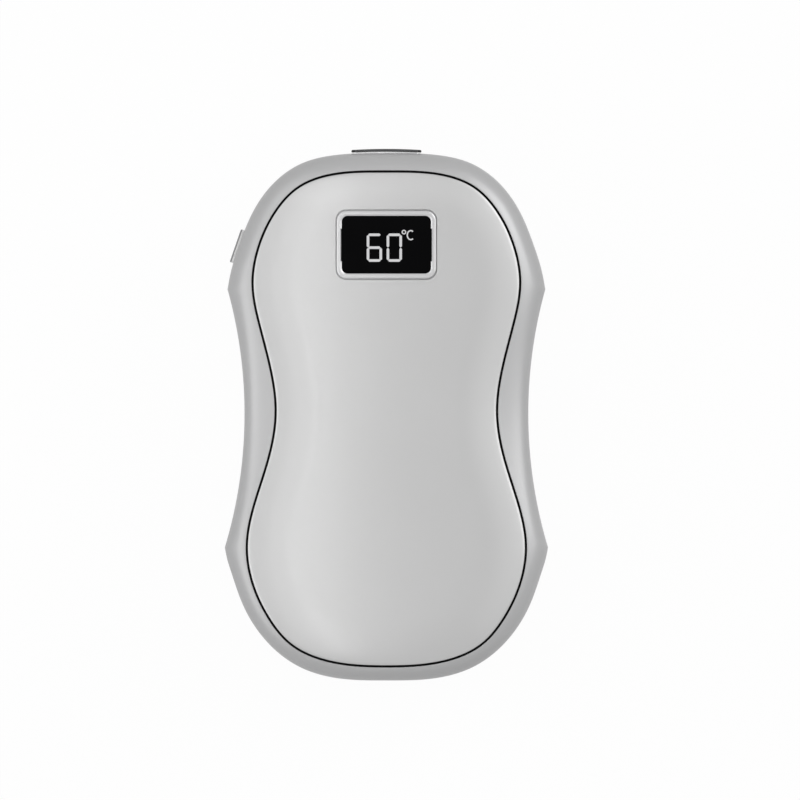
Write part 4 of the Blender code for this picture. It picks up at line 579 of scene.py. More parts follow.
board_low, board_high = (corner.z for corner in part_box("main_board"))
ear_bottom = board_high + SEAT_GAP
ear_top = ear_bottom + EAR_THICKNESS
foot_z = MID_Z - LEDGE_HEIGHT + BOSS_FOOT_GAP
front_posts, rear_posts, pilot_holes, shank_holes, head_holes = [], [], [], [], []
for number in range(1, SCREW_COUNT + 1):
    low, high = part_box(f"housing_screw_{number}")
    x, y = (low.x + high.x) / 2, (low.y + high.y) / 2
    post_foot = (ear_top if number in TRAY_SCREWS else board_high) + SEAT_GAP
    post_head = (board_low if number in BOARD_SCREWS else ear_bottom) - SEAT_GAP
    front_posts.append((x, y, post_foot, MID_Z + LEDGE_UNDER + BOSS_ROOT))
    rear_posts.append((x, y, foot_z, post_head))
    pilot_holes.append((x, y, post_foot - OVERRUN, high.z + PILOT_END_GAP))
    shank_holes.append((x, y, foot_z - OVERRUN, post_head + OVERRUN))
    head_holes.append((x, y, foot_z - OVERRUN, low.z + SCREW_HEAD_HEIGHT + SEAT_GAP))
combine(front_frame, "UNION", cylinders("front_posts", FRONT_BOSS_RADIUS, front_posts))
combine(rear_frame, "UNION", cylinders("rear_posts", REAR_BOSS_RADIUS, rear_posts))
combine(front_frame, "DIFFERENCE", cylinders("pilot_holes", SHANK_HOLE_RADIUS, pilot_holes))
combine(rear_frame, "DIFFERENCE", cylinders("shank_holes", SHANK_HOLE_RADIUS, shank_holes),
        cylinders("head_holes", HEAD_HOLE_RADIUS, head_holes))

collar_low, collar_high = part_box("port_collar")
half_opening = COLLAR_WIDTH / 2 + OPENING_GAP
opening_outline = rounded_outline(BUTTON_LENGTH + 2 * OPENING_GAP, BUTTON_HEIGHT + 2 * OPENING_GAP,
                                  BUTTON_CORNER_RADIUS + OPENING_GAP)
for housing in (front_frame, rear_frame):
    port_opening = block("port_opening",
                         (-half_opening, TOP_Y - COLLAR_DEPTH - OVERRUN, collar_low.z - OPENING_GAP),
                         (half_opening, TOP_Y + OVERRUN, collar_high.z + OPENING_GAP))
    button_opening = outline_block("button_opening", opening_outline, -OVERRUN,
                                   2 * (FRAME_WALL + OVERRUN), on_button)
    combine(housing, "DIFFERENCE", port_opening, button_opening)


def shade_of(colour, factor):
    return (*[value * factor for value in colour[:3]], 1.0)


def shades(pattern, colour, dark, bright):
    """A colour that goes with a pattern from a darker to a brighter shade, each a factor of its own."""
    return pattern.blend(shade_of(colour, dark), shade_of(colour, bright))


def around(middle, *swings):
    """A value that swings about its middle, by so much over the range of each pattern."""
    value = middle - sum(swing for _, swing in swings) / 2
    for pattern, swing in swings:
        value = pattern * swing + value
    return value


def bump(pattern, strength, distance):
    values = {"Height": pattern, "Strength": strength, "Distance": distance}
    return pattern.node("ShaderNodeBump", values=values)


class Finish(Link):
    """A material. What is the same all over is set on its shader's own sockets."""

    def __init__(self, name, constants):
        self.material = bpy.data.materials.new(name)
        self.material.use_nodes = True
        super().__init__(self.material.node_tree)
        self.shader = self.tree.nodes["Principled BSDF"]
        for socket, value in constants.items():
            self.shader.inputs[socket].default_value = value

    def feed(self, links):
        """Feeds what changes over the surface to the shader, and gives the material."""
        for socket, link in links.items():
            self.tree.links.new(link.socket, self.shader.inputs[socket])
        return self.material

    def place(self):
        return self.node("ShaderNodeTexCoord", outlet="Object")

    def along(self, axis, vector=None):
        """The place along an axis, or another vector's part along it."""
        return self.node("ShaderNodeSeparateXYZ", values={0: vector or self.place()}, outlet=axis)

    def speckle(self, scale, detail=2.0, place=None):
        """Noise through the piece, so many features to the metre."""
        values = {"Vector": place or self.place(), "Scale": scale, "Detail": detail}
        return self.node("ShaderNodeTexNoise", values=values)


def satin_silver(name, colour, roughness, metallic, grain_scale):
    """Satin silver: a fine flake in its grain, and a very faint unevenness in its gloss."""
    finish = Finish(name, {
        "Metallic": metallic, "Specular IOR Level": 0.30, "Specular Tint": EDGE_TINT})
    flake, cloud = finish.speckle(grain_scale), finish.speckle(scale=45.0)
    both = flake * FLAKE_SHARE + cloud * (1 - FLAKE_SHARE)
    return finish.feed({
        "Base Color": shades(both, colour, dark=0.97, bright=1.03),
        "Roughness": around(roughness, (cloud, 0.06), (flake, 0.05)),
        "Normal": bump(flake, strength=0.12, distance=0.00002)})


satin_paint = satin_silver("satin_silver_paint", SILVER_PAINT, roughness=0.42, metallic=0.45,
                           grain_scale=9000.0)
dress(front_frame, "housing", "satin_housing", satin_paint, "front_frame")
dress(rear_frame, "housing", "satin_housing", satin_paint, "rear_frame")


# Heat plates
# A pressed aluminium plate on each face carries the heat to the hands. It is blasted and anodised
# silver, and its rim rolls down to the seam. The front one has the opening for the display.
SEAM_GAP = 0.00046
PLATE_THICKNESS = 0.0010
PLATE_EDGE_DROP = 0.0016
PLATE_ROLL_WIDTH = 0.0090
PLATE_EDGE_ROUND = 0.00008
ROLL_STEPS = 16
# The underside has a ring for every third one of the face
UNDERSIDE_STRIDE = 3
BEZEL_WIDTH, BEZEL_HEIGHT = 0.0207, 0.0144
BEZEL_CORNER_RADIUS = 0.0022
DISPLAY_LOWERING = 0.00013
DISPLAY_Y = sum(corner.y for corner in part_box("display_window")) / 2 - DISPLAY_LOWERING
ANODISED_SILVER = (0.525, 0.525, 0.525, 1.0)


def plate_rings(side):
    """Rings over a plate's face from its middle, round its edge and back under it."""
    edge = inset(SEAM, SEAM_GAP)
    shares = [1 - step / ROLL_STEPS for step in range(ROLL_STEPS)]

    def level(distance, depth):
        drop = PLATE_EDGE_DROP * max(0.0, 1 - distance / PLATE_ROLL_WIDTH) ** 2
        return at_height(inset(edge, distance), MID_Z - drop - depth)

    rings = [level(PLATE_ROLL_WIDTH * share, 0.0) for share in shares]
    rings.append(level(PLATE_EDGE_ROUND, 0.0))
    rings.append(level(PLATE_EDGE_ROUND * EDGE_SHARE, PLATE_EDGE_ROUND * EDGE_SHARE))
    rings.append(level(0.0, PLATE_EDGE_ROUND))
    under_shares = [0.0, *shares[::-UNDERSIDE_STRIDE]]
    rings += [level(PLATE_ROLL_WIDTH * share, PLATE_THICKNESS) for share in under_shares]
    return on_side(rings, side)


front_plate = loft("front_plate", plate_rings(1), closed_section=False)
rear_plate = loft("rear_plate", plate_rings(-1), closed_section=False)
display_opening = outline_block(
    "display_opening", rounded_outline(BEZEL_WIDTH, BEZEL_HEIGHT, BEZEL_CORNER_RADIUS),
    THICKNESS - PLATE_THICKNESS - OVERRUN, THICKNESS + OVERRUN, lambda x, y, z: (x, DISPLAY_Y + y, z))
combine(front_plate, "DIFFERENCE", display_opening)
anodised = satin_silver("anodised_plate", ANODISED_SILVER, roughness=0.30, metallic=0.5,
                        grain_scale=11000.0)
dress(front_plate, "housing", "satin_plate", anodised, "front_heat_plate")
dress(rear_plate, "housing", "satin_plate", anodised, "rear_heat_plate")


# Plate gaskets
# A black silicone ring lies on each ledge under the plate's rim, and its lip stands up in the seam and
# shows as the fine black line. It is extruded and joined into a ring, so it is a section on a path.
GASKET_SIDE_GAP = 0.00015
GASKET_HEIGHT = 0.0003
LIP_SIDE_GAP = 0.00001
LIP_DROP = 0.00006
SILICONE_BLACK = (0.002, 0.002, 0.002, 1.0)


class Geometry(Link):
    """One output of a Geometry Nodes tree."""

    def __init__(self, name, **inputs):
        """A new tree for a piece, with a named input for each of its sizes and one for its finish."""
        tree = bpy.data.node_groups.new(name, "GeometryNodeTree")
        for label, kind in {"Geometry": "Geometry", **inputs, "Material": "Material"}.items():
            tree.interface.new_socket(label, in_out="INPUT", socket_type="NodeSocket" + kind)
        tree.interface.new_socket("Geometry", in_out="OUTPUT", socket_type="NodeSocketGeometry")
        super().__init__(tree)
        self.given = tree.nodes.new("NodeGroupInput").outputs

    def size(self, label):
        return Link(self.tree, self.given[label])

    def spread(self, points, instance, **turn):
        """The instance at each of the points."""
        return self.node("GeometryNodeInstanceOnPoints", values={
            "Points": points, "Instance": instance, **turn})

    def end(self, shape):
        """Closes the tree: instances become a mesh, which takes its finish."""
        plain = self.node("GeometryNodeRealizeInstances", values={"Geometry": shape})
        dressed = self.node("GeometryNodeSetMaterial", values={
            "Geometry": plain, "Material": self.size("Material")})
        last = self.tree.nodes.new("NodeGroupOutput")
        self.tree.links.new(dressed.socket, last.inputs["Geometry"])
        return self.tree


def grow(name, carrier, tree, **sizes):
    """Runs a Geometry Nodes tree on a carrier and keeps the result as a plain mesh piece."""
    source = bpy.data.objects.new(name + "_carrier", carrier)
    scene.collection.objects.link(source)
    modifier = source.modifiers.new("tree", "NODES")
    modifier.node_group = tree
    for item in tree.interface.items_tree:
        if item.in_out == "INPUT" and item.name in sizes:
            modifier[item.identifier] = sizes[item.name]
    bpy.context.view_layer.update()
    mesh = bpy.data.meshes.new_from_object(source.evaluated_get(bpy.context.evaluated_depsgraph_get()))
    mesh.name = name
    bpy.data.objects.remove(source)
    piece = bpy.data.objects.new(name, mesh)
    scene.collection.objects.link(piece)
    return piece


def path_curve(name, points, closed):
    """A curve through points, for a section to be swept along."""
    curve = bpy.data.curves.new(name, "CURVE")
    curve.dimensions = "3D"
    spline = curve.splines.new("POLY")
    spline.points.add(len(points) - 1)
    for point, place in zip(spline.points, points):
        point.co = (*place, 1.0)
    spline.use_cyclic_u = closed
    return curve


def ring_tree():
    """Sweeps a rectangle of a given width and height along the carrier's curve."""
    tree = Geometry("ring", Width="Float", Height="Float")
    section = tree.node("GeometryNodeCurvePrimitiveQuadrilateral",
                        values={"Width": tree.size("Width"), "Height": tree.size("Height")})
    path = tree.node("GeometryNodeSetCurveNormal", {"mode": "Z_UP"}, {"Curve": tree.size("Geometry")})
    ring = tree.node("GeometryNodeCurveToMesh", values={"Curve": path, "Profile Curve": section})
    return tree.end(ring)


def rubber(name, colour, roughness, shine=0.4, ends=None):
    """Rubber or soft plastic: dull, with a fine even grain. Ends are a place along X, left and right,
    past which it has another colour, used as painted shade on rounded ends."""
    finish = Finish(name, {"Specular IOR Level": shine})
    grain = finish.speckle(scale=5000.0)
    tone = shades(finish.speckle(scale=60.0), colour, dark=0.85, bright=1.15)
    if ends:
        tone = (abs(finish.along("X")) > ends[0]).blend(tone, ends[1])
    return finish.feed({
        "Base Color": tone,
        "Roughness": around(roughness, (grain, 0.10)),
        "Normal": bump(grain, strength=0.25, distance=0.00003)})


black_silicone = rubber("black_silicone", SILICONE_BLACK, roughness=0.80, shine=0.06)
ring_sweep = ring_tree()


def seam_ring(name, side, margin, low, high, width):
    """A ring of black silicone that follows the seam, at a margin inside it, between two heights."""
    path = on_side([at_height(inset(SEAM, margin), (low + high) / 2)], side)[0]
    return grow(name, path_curve(name, path, closed=True), ring_sweep, Material=black_silicone,
                Width=width, Height=high - low)


base_low = LEDGE_HEIGHT + GASKET_SIDE_GAP
lip_low = base_low + GASKET_HEIGHT / 2
for side, name in ((1, "front_gasket"), (-1, "rear_gasket")):
    gasket = seam_ring(name, side, LEDGE_WIDTH / 2, base_low, base_low + GASKET_HEIGHT,
                       LEDGE_WIDTH - 2 * GASKET_SIDE_GAP)
    lip = seam_ring(name + "_lip", side, SEAM_GAP / 2, lip_low, SEAM_HEIGHT - LIP_DROP,
                    SEAM_GAP - 2 * LIP_SIDE_GAP)
    combine(gasket, "UNION", lip)
    dress(gasket, "housing", "black_gasket", black_silicone, name.replace("gasket", "plate_gasket"))


# Display bezel and window
# A bright moulded trim sits flush in the plate's opening. Its flange holds it from behind, and its
# inner edge is chamfered down to the smoked window, with a shallow notch on each side for its tabs.
BEZEL_GAP = 0.00027
BEZEL_DEPTH = 0.0019
BEZEL_OUTER_ROUND, BEZEL_ROUND_SHARE = 0.00022, 0.6
BEZEL_CHAMFER_WIDTH, BEZEL_CHAMFER_DEPTH = 0.00028, 0.00018
FLAT_SHARP_ANGLE = 15.0
FLANGE_WIDTH, FLANGE_THICKNESS = 0.0011, 0.0006
NECK_MARGIN = 0.0003
WINDOW_WIDTH, WINDOW_HEIGHT = 0.0182, 0.0118
WINDOW_CORNER_RADIUS = 0.0012
WINDOW_EDGE_ROUND = 0.00008
WINDOW_GAP = 0.00003
NOTCH_DEPTH = 0.00014
NOTCH_TOP, NOTCH_BOTTOM = 0.0033, -0.0034
BRIGHT_SILVER = (0.55, 0.55, 0.555, 1.0)
SMOKED_BLACK = (0.0012, 0.0012, 0.0014, 1.0)
WINDOW_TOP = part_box("display_window")[1].z
WINDOW_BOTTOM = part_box("display_window")[0].z


def notched_outline(width, height, radius, notch=0.0):
    """A rounded rectangle whose left and right sides step outwards over part of their height."""
    outline = rounded_outline(width, height, radius)
    half_way = len(outline) // 2
    half, out = width / 2, width / 2 + notch
    right = [(half, NOTCH_BOTTOM), (out, NOTCH_BOTTOM + notch / 2), (out, NOTCH_TOP - notch / 2),
             (half, NOTCH_TOP)]
    left = [(-x, y) for x, y in right[::-1]]
    return np.vstack([outline[:half_way], left, outline[half_way:], right])


def display_ring(outline, z):
    return [(x, DISPLAY_Y + y, z) for x, y in outline]


def bezel_ring(margin, z, notch=0.0):
    """A ring of the bezel, at a distance outside the window's opening."""
    radius = WINDOW_CORNER_RADIUS + margin * (BEZEL_CORNER_RADIUS - WINDOW_CORNER_RADIUS) / BEZEL_RIM
    outline = notched_outline(WINDOW_WIDTH + 2 * margin, WINDOW_HEIGHT + 2 * margin, radius, notch)
    return display_ring(outline, z)


BEZEL_RIM = (BEZEL_WIDTH - WINDOW_WIDTH) / 2
outside = BEZEL_RIM - BEZEL_GAP
bezel_bottom = THICKNESS - BEZEL_DEPTH
flange_top = bezel_bottom + FLANGE_THICKNESS
bezel = loft("display_trim", [
    bezel_ring(0.0, THICKNESS - BEZEL_CHAMFER_DEPTH, NOTCH_DEPTH),
    bezel_ring(BEZEL_CHAMFER_WIDTH, THICKNESS),
    bezel_ring(outside - BEZEL_OUTER_ROUND, THICKNESS),
    bezel_ring(outside, THICKNESS - BEZEL_OUTER_ROUND * BEZEL_ROUND_SHARE),
    bezel_ring(outside, flange_top),
    bezel_ring(BEZEL_RIM + FLANGE_WIDTH, flange_top),
    bezel_ring(BEZEL_RIM + FLANGE_WIDTH, bezel_bottom),
    bezel_ring(NECK_MARGIN, bezel_bottom),
    bezel_ring(NECK_MARGIN, flange_top),
    bezel_ring(0.0, flange_top, NOTCH_DEPTH),
], closed_section=True)
bright_trim = satin_silver("bright_trim", BRIGHT_SILVER, roughness=0.30, metallic=0.55,
                           grain_scale=9000.0)
dress(bezel, "housing", "bright_trim", bright_trim, "display_bezel", sharp=FLAT_SHARP_ANGLE)


def smoked_glass():
    """The window: black and glossy, with the faint waviness and dust haze of moulded acrylic."""
    finish = Finish("smoked_window", {"Specular IOR Level": 0.025, "IOR": 1.49})
    haze, wave = finish.speckle(scale=160.0, detail=3.0), finish.speckle(scale=90.0, detail=0.0)
    return finish.feed({
        "Base Color": shades(haze, SMOKED_BLACK, dark=1.0, bright=1.8),
        "Roughness": around(0.065, (haze, 0.05)),
        "Normal": bump(wave, strength=0.01, distance=0.0001)})


def window_ring(margin, z):
    outline = notched_outline(WINDOW_WIDTH - 2 * margin, WINDOW_HEIGHT - 2 * margin,
                              WINDOW_CORNER_RADIUS - margin, NOTCH_DEPTH)
    return display_ring(outline, z)


window = loft("smoked_window", [
    window_ring(WINDOW_GAP + WINDOW_EDGE_ROUND, WINDOW_TOP),
    window_ring(WINDOW_GAP + WINDOW_EDGE_ROUND * EDGE_SHARE,
                WINDOW_TOP - WINDOW_EDGE_ROUND * EDGE_SHARE),
    window_ring(WINDOW_GAP, WINDOW_TOP - WINDOW_EDGE_ROUND),
    window_ring(WINDOW_GAP, WINDOW_BOTTOM),
], closed_section=False)
dress(window, "housing", "black_window", smoked_glass(), "display_window", sharp=FLAT_SHARP_ANGLE)


# Temperature readout
# Two digits of lit bars and a small degree sign with a C show through the window. Each bar is one
# moulded light guide of the display, pointed at both ends, so that the bars meet in chamfered corners.
DIGIT_WIDTH, DIGIT_HEIGHT = 0.00313, 0.00577
BAR_WIDTH, BAR_THICKNESS, BAR_GAP = 0.00053, 0.00004, 0.00006
READOUT_MIDDLE_Y = -0.00060
DIGIT_X = {"6": -0.00244, "0": 0.00162}
READOUT_RISE = 0.00001
# Bars of a digit: upper left, lower left, upper right, lower right, top, middle, bottom
LIT_BARS = {"6": (1, 1, 0, 1, 1, 1, 1), "0": (1, 1, 1, 1, 1, 0, 1)}
DEGREE_PLACE, DEGREE_RADIUS, DEGREE_STROKE = (0.00358, 0.00257), 0.00036, 0.00022
LETTER_PLACE, LETTER_SIZE, LETTER_STROKE = (0.00498, 0.00195), (0.00072, 0.00092), 0.00026
LETTER_OPENING = 52.0
LIT_GREY = (0.62, 0.62, 0.63, 1.0)
UNLIT_BLACK = (0.02, 0.02, 0.02, 1.0)
ARC_STEPS = 28


def bar_tree():
    """Stands a pointed bar on each point of the carrier, turned by the point's own angle. It is the
    hull round two square plates that stand on their corners, one at each end."""
    tree = Geometry("display_bars", Length="Float", Width="Float", Thickness="Float")
    length, width = tree.size("Length"), tree.size("Width")
    body = tree.node("GeometryNodeMeshCylinder", {"fill_type": "NGON"},
                     {"Vertices": 4, "Radius": width * 0.5, "Depth": tree.size("Thickness")})
    end = tree.node("ShaderNodeCombineXYZ", values={"X": (length - width) * 0.5})
    other_end = tree.node("ShaderNodeVectorMath", {"operation": "SCALE"}, {0: end, "Scale": -1.0})
    both = tree.node("GeometryNodeJoinGeometry")
    for offset in (end, other_end):
        moved = tree.node("GeometryNodeTransform", values={"Geometry": body, "Translation": offset})
        tree.tree.links.new(moved.socket, both.socket.node.inputs[0])
    bar = tree.node("GeometryNodeConvexHull", values={"Geometry": both})
    angle = tree.node("GeometryNodeInputNamedAttribute", {"data_type": "FLOAT"}, {"Name": "turn"})
    turn = tree.node("ShaderNodeCombineXYZ", values={"Z": angle})
    return tree.end(tree.spread(tree.size("Geometry"), bar, Rotation=turn))


def digit_bars(middle_x, lit):
    """Places and turns of the lit bars of one digit."""
    column, row = (DIGIT_WIDTH - BAR_WIDTH) / 2, (DIGIT_HEIGHT - BAR_WIDTH) / 2
    upright, level = math.pi / 2, 0.0
    bars = [(-column, row / 2, upright), (-column, -row / 2, upright), (column, row / 2, upright),
            (column, -row / 2, upright), (0.0, row, level), (0.0, 0.0, level), (0.0, -row, level)]
    return [(middle_x + x, READOUT_MIDDLE_Y + y, turn) for (x, y, turn), on in zip(bars, lit) if on]


def arc_band(name, centre, radii, stroke, start_angle, end_angle):
    """A flat curved stroke with square ends, lying in the window's face."""
    closed = end_angle - start_angle >= 2 * math.pi
    half = stroke / 2
    section = ((half, bar_high), (-half, bar_high), (-half, bar_low), (half, bar_low))
    rings = []
    for angle in np.linspace(start_angle, end_angle, ARC_STEPS, endpoint=not closed):
        rings.append([(centre[0] + (radii[0] + out) * math.cos(angle),
                       DISPLAY_Y + centre[1] + (radii[1] + out) * math.sin(angle), z)
                      for out, z in section])
    return loft(name, rings, closed_section=closed)


def lit_plastic():
    """A lit light guide: its glow is even, a little weaker here and there."""
    finish = Finish("lit_readout", {
        "Base Color": UNLIT_BLACK, "Roughness": 0.2, "Specular IOR Level": 0.1,
        "Emission Strength": 1.0})
    return finish.feed({
        "Emission Color": shades(finish.speckle(scale=900.0), LIT_GREY, dark=0.92, bright=1.06)})


bar_low = WINDOW_TOP - BAR_THICKNESS + READOUT_RISE
bar_high = WINDOW_TOP + READOUT_RISE
lit = lit_plastic()
places = [place for digit, middle_x in DIGIT_X.items()
          for place in digit_bars(middle_x, LIT_BARS[digit])]
carrier = bpy.data.meshes.new("bar_places")
carrier.from_pydata([(x, DISPLAY_Y + y, (bar_low + bar_high) / 2) for x, y, _ in places], [], [])
turns = carrier.attributes.new("turn", "FLOAT", "POINT")
turns.data.foreach_set("value", [turn for _, _, turn in places])
digits = grow("readout_digits", carrier, bar_tree(), Material=lit, Width=BAR_WIDTH,
              Length=(DIGIT_HEIGHT - BAR_WIDTH) / 2 - BAR_GAP, Thickness=BAR_THICKNESS)
degree = arc_band("readout_degree", DEGREE_PLACE, (DEGREE_RADIUS, DEGREE_RADIUS), DEGREE_STROKE,
                  0.0, 2 * math.pi)
opening = math.radians(LETTER_OPENING)
letter = arc_band("readout_unit", LETTER_PLACE, LETTER_SIZE, LETTER_STROKE,
                  opening, 2 * math.pi - opening)
for piece in (digits, degree, letter):
    dress(piece, "housing", "black_window", lit)


# Charging port
# A bright collar fills the port's cut-out in both frames. Behind it stands the pressed steel shell of
# the charging socket, with the tongue and its gold contacts in the middle.
COVER_CROWN_RADIUS = 0.1150
COVER_RISE = 0.00076
COLLAR_FLANGE_REACH, COLLAR_FLANGE_THICKNESS, COLLAR_FLANGE_HEIGHT = 0.0011, 0.00085, 0.0046
COLLAR_EDGE_ROUND = 0.00012
SOCKET_WIDTH, SOCKET_HEIGHT = 0.00894, 0.00316
SOCKET_WALL, SOCKET_CLEARANCE = 0.0003, 0.00023
SOCKET_LIP_ROUND = 0.00012
# The rolled lip of the shell: shares of its wall inwards and of its round back from its front
SOCKET_LIP_SHARES = [(0.0, 1.0), (0.2, 0.3), (0.5, 0.0), (0.8, 0.3), (1.0, 1.0)]
PILL_END_SHARE, PILL_STEPS = 0.9999, 12
HINGE_PIN_RADIUS, HINGE_RUNNING_GAP, HINGE_SLOT_GAP = 0.0003, 0.0001, 0.00025
HINGE_BARREL_RADIUS, HINGE_BARREL_LENGTH = 0.0008, 0.0092
PIN_END_ROUND = 0.00006
TONGUE_EDGE_ROUND = 0.0001
CONTACT_COUNT, CONTACT_PITCH = 12, 0.0005
CONTACT_WIDTH, CONTACT_THICKNESS, CONTACT_LENGTH = 0.00027, 0.00004, 0.0032
CONTACT_SETBACK = 0.0008
CROWN_STEPS = 24
BEVEL_ANGLE = 40.0
STEEL_COLOUR = (0.52, 0.52, 0.53, 1.0)
GOLD_COLOUR = (0.83, 0.58, 0.22, 1.0)
MOULDED_BLACK = (0.014, 0.014, 0.015, 1.0)
ROLLING_STRETCH = (1.0, 0.06, 1.0)

hinge = next(joint for joint in frame["joints"] if joint["name"] == "port_cover_hinge")
HINGE_Y, HINGE_Z = hinge["pos_m"][1:]
HINGE = (0.0, HINGE_Y, HINGE_Z)
OPEN_ANGLE = math.radians(hinge["range_deg"][1])
COVER_TOP = TOP_Y + COVER_RISE - HINGE_Y
COLLAR_TOP = TOP_Y + COLLAR_RISE - HINGE_Y


def crown(half, top_y, radius, way=1):
    """Points over a crowned top, from left to right, or back with way -1."""
    across = [way * half * (2 * step / CROWN_STEPS - 1) for step in range(CROWN_STEPS + 1)]
    return [(x, top_y - radius + math.sqrt(radius ** 2 - x ** 2)) for x in across]


def pill(width, height):
    """A rectangle with fully round ends."""
    return rounded_outline(width, height, height / 2 * PILL_END_SHARE, PILL_STEPS)


def turned(name, profile, centre, along, segments=48):
    """A shape turned about an axis along X, Y or Z, from its radii and their places along it."""
    rings = []
    for radius, far in profile:
        ring = []
        for step in range(segments):
            angle = 2 * math.pi * step / segments
            spot = [radius * math.cos(angle), radius * math.sin(angle)]
            spot.insert("XYZ".index(along), far)
            ring.append([middle + place for middle, place in zip(centre, spot)])
        rings.append(ring)
    return loft(name, rings, closed_section=False)


def rod(name, radius, half_length, centre, edge=0.0):
    """A round bar along X, with its end edges rounded off where an edge is given."""
    profile = [(radius - edge, -half_length), (radius, edge - half_length),
               (radius, half_length - edge), (radius - edge, half_length)]
    return turned(name, profile if edge else [profile[0], profile[-1]], centre, "X")


def round_edges(piece, width, segments=3):
    step = piece.modifiers.new("edges", "BEVEL")
    step.width = width
    step.segments = segments
    step.limit_method = "ANGLE"
    step.angle_limit = math.radians(BEVEL_ANGLE)
    step.harden_normals = False
    apply_steps(piece)


def as_drawn(x, y, z):
    """An outline in the plane of the plates, drawn out along Z."""
    return x, y, z


def facing_up(x, up, y):
    """An outline in the plane of the port, drawn out along Y."""
    return x, y, MID_Z + up


collar_half, collar_back = COLLAR_WIDTH / 2, TOP_Y - COLLAR_DEPTH
collar_crown_radius = COVER_CROWN_RADIUS - (COVER_RISE - COLLAR_RISE)
collar_outline = crown(collar_half, TOP_Y + COLLAR_RISE, collar_crown_radius)
collar_outline += [(collar_half, collar_back), (-collar_half, collar_back)]
collar = outline_block("port_collar_block", collar_outline, collar_low.z, collar_high.z, as_drawn)
flange_half = collar_half + COLLAR_FLANGE_REACH
combine(collar, "UNION", block(
    "collar_flange", (-flange_half, collar_back, MID_Z - COLLAR_FLANGE_HEIGHT / 2),
    (flange_half, collar_back + COLLAR_FLANGE_THICKNESS, MID_Z + COLLAR_FLANGE_HEIGHT / 2)))
collar_hole = outline_block(
    "collar_hole", pill(SOCKET_WIDTH + 2 * SOCKET_CLEARANCE, SOCKET_HEIGHT + 2 * SOCKET_CLEARANCE),
    collar_back - OVERRUN, TOP_Y + OVERRUN, facing_up)
sweep = (COVER_TOP - COLLAR_TOP * math.cos(OPEN_ANGLE)) / math.sin(OPEN_ANGLE) + HINGE_SLOT_GAP
slot_half = HINGE_BARREL_LENGTH / 2 + HINGE_SLOT_GAP
hinge_slot = block("hinge_slot",
                   (-slot_half, HINGE_Y - HINGE_BARREL_RADIUS - HINGE_SLOT_GAP, HINGE_Z - sweep),
                   (slot_half, TOP_Y + OVERRUN, HINGE_Z + HINGE_BARREL_RADIUS + HINGE_RUNNING_GAP))
pin_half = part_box("port_hinge_pin")[1].x
bore_radius = HINGE_PIN_RADIUS + HINGE_RUNNING_GAP
combine(collar, "DIFFERENCE", collar_hole, hinge_slot,
        rod("pin_hole", bore_radius, pin_half + HINGE_RUNNING_GAP, HINGE))
round_edges(collar, COLLAR_EDGE_ROUND, segments=2)
dress(collar, "housing", "bright_trim", bright_trim, "port_collar")

shell_back, shell_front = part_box("usb_c_shell")[0].y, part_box("usb_c_shell")[1].y


def shell_ring(margin, y):
    """A ring of the socket's shell, at a distance inside its outline."""
    outline = pill(SOCKET_WIDTH - 2 * margin, SOCKET_HEIGHT - 2 * margin)
    return [(x, y, MID_Z + z) for x, z in outline]


lip_rings = [shell_ring(SOCKET_WALL * inward, shell_front - SOCKET_LIP_ROUND * back)
             for inward, back in SOCKET_LIP_SHARES]
shell = loft("socket_shell", [
    shell_ring(0.0, shell_back), *lip_rings, shell_ring(SOCKET_WALL, shell_back + SOCKET_WALL),
], closed_section=False)


def drawn_steel(name, colour, roughness):
    """Rolled steel: fine lines along the sheet and a few duller patches."""
    finish = Finish(name, {"Metallic": 1.0})
    values = {"Vector": finish.place(), "Scale": ROLLING_STRETCH}
    lines = finish.speckle(scale=9000.0, place=finish.node("ShaderNodeMapping", values=values))
    cloud = finish.speckle(scale=400.0)
    return finish.feed({
        "Base Color": shades(cloud, colour, dark=0.88, bright=1.08),
        "Roughness": around(roughness, (lines, 0.16), (cloud, 0.08)),
        "Normal": bump(lines, strength=0.15, distance=0.00001)})


def moulded_plastic(name, colour, roughness):
    """Moulded plastic with a fine spark eroded grain."""
    finish = Finish(name, {"Specular IOR Level": 0.45})
    grain, cloud = finish.speckle(scale=6000.0), finish.speckle(scale=120.0)
    return finish.feed({
        "Base Color": shades(cloud, colour, dark=0.88, bright=1.12),
        "Roughness": around(roughness, (grain, 0.12)),
        "Normal": bump(grain, strength=0.2, distance=0.00002)})


steel = drawn_steel("rolled_steel", STEEL_COLOUR, roughness=0.34)
dress(shell, "housing", "steel", steel, "usb_c_shell")

black_moulding = moulded_plastic("black_moulding", MOULDED_BLACK, roughness=0.5)
tongue_low, tongue_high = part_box("usb_c_tongue")
tongue = block("socket_tongue", tongue_low, tongue_high)
round_edges(tongue, TONGUE_EDGE_ROUND, segments=2)
dress(tongue, "housing", "component_black", black_moulding, "usb_c_tongue")


def row_tree():
    """A row of flat bars at each point of the carrier, with its middle there."""
    tree = Geometry("row", Count="Int", Step="Vector", Size="Vector")
    bar = tree.node("GeometryNodeMeshCube", values={"Size": tree.size("Size")})
    count, step = tree.size("Count"), tree.size("Step")
    first = tree.node("ShaderNodeVectorMath", {"operation": "SCALE"},
                      {0: step, "Scale": (count - 1) * -0.5})
    row = tree.node("GeometryNodeMeshLine", {"mode": "OFFSET"},
                    {"Count": count, "Start Location": first, "Offset": step})
    lines = tree.spread(tree.size("Geometry"), row)
    points = tree.node("GeometryNodeRealizeInstances", values={"Geometry": lines})
    return tree.end(tree.spread(points, bar))


rows = row_tree()


def bar_rows(name, middles, count, step, size, finish, slot):
    """Rows of flat bars in the housing, one row round each of the middles."""
    carrier = bpy.data.meshes.new(name)
    carrier.from_pydata([tuple(middle) for middle in middles], [], [])
    bars = grow(name, carrier, rows, Material=finish, Count=count, Step=step, Size=size)
    dress(bars, "housing", slot, finish)


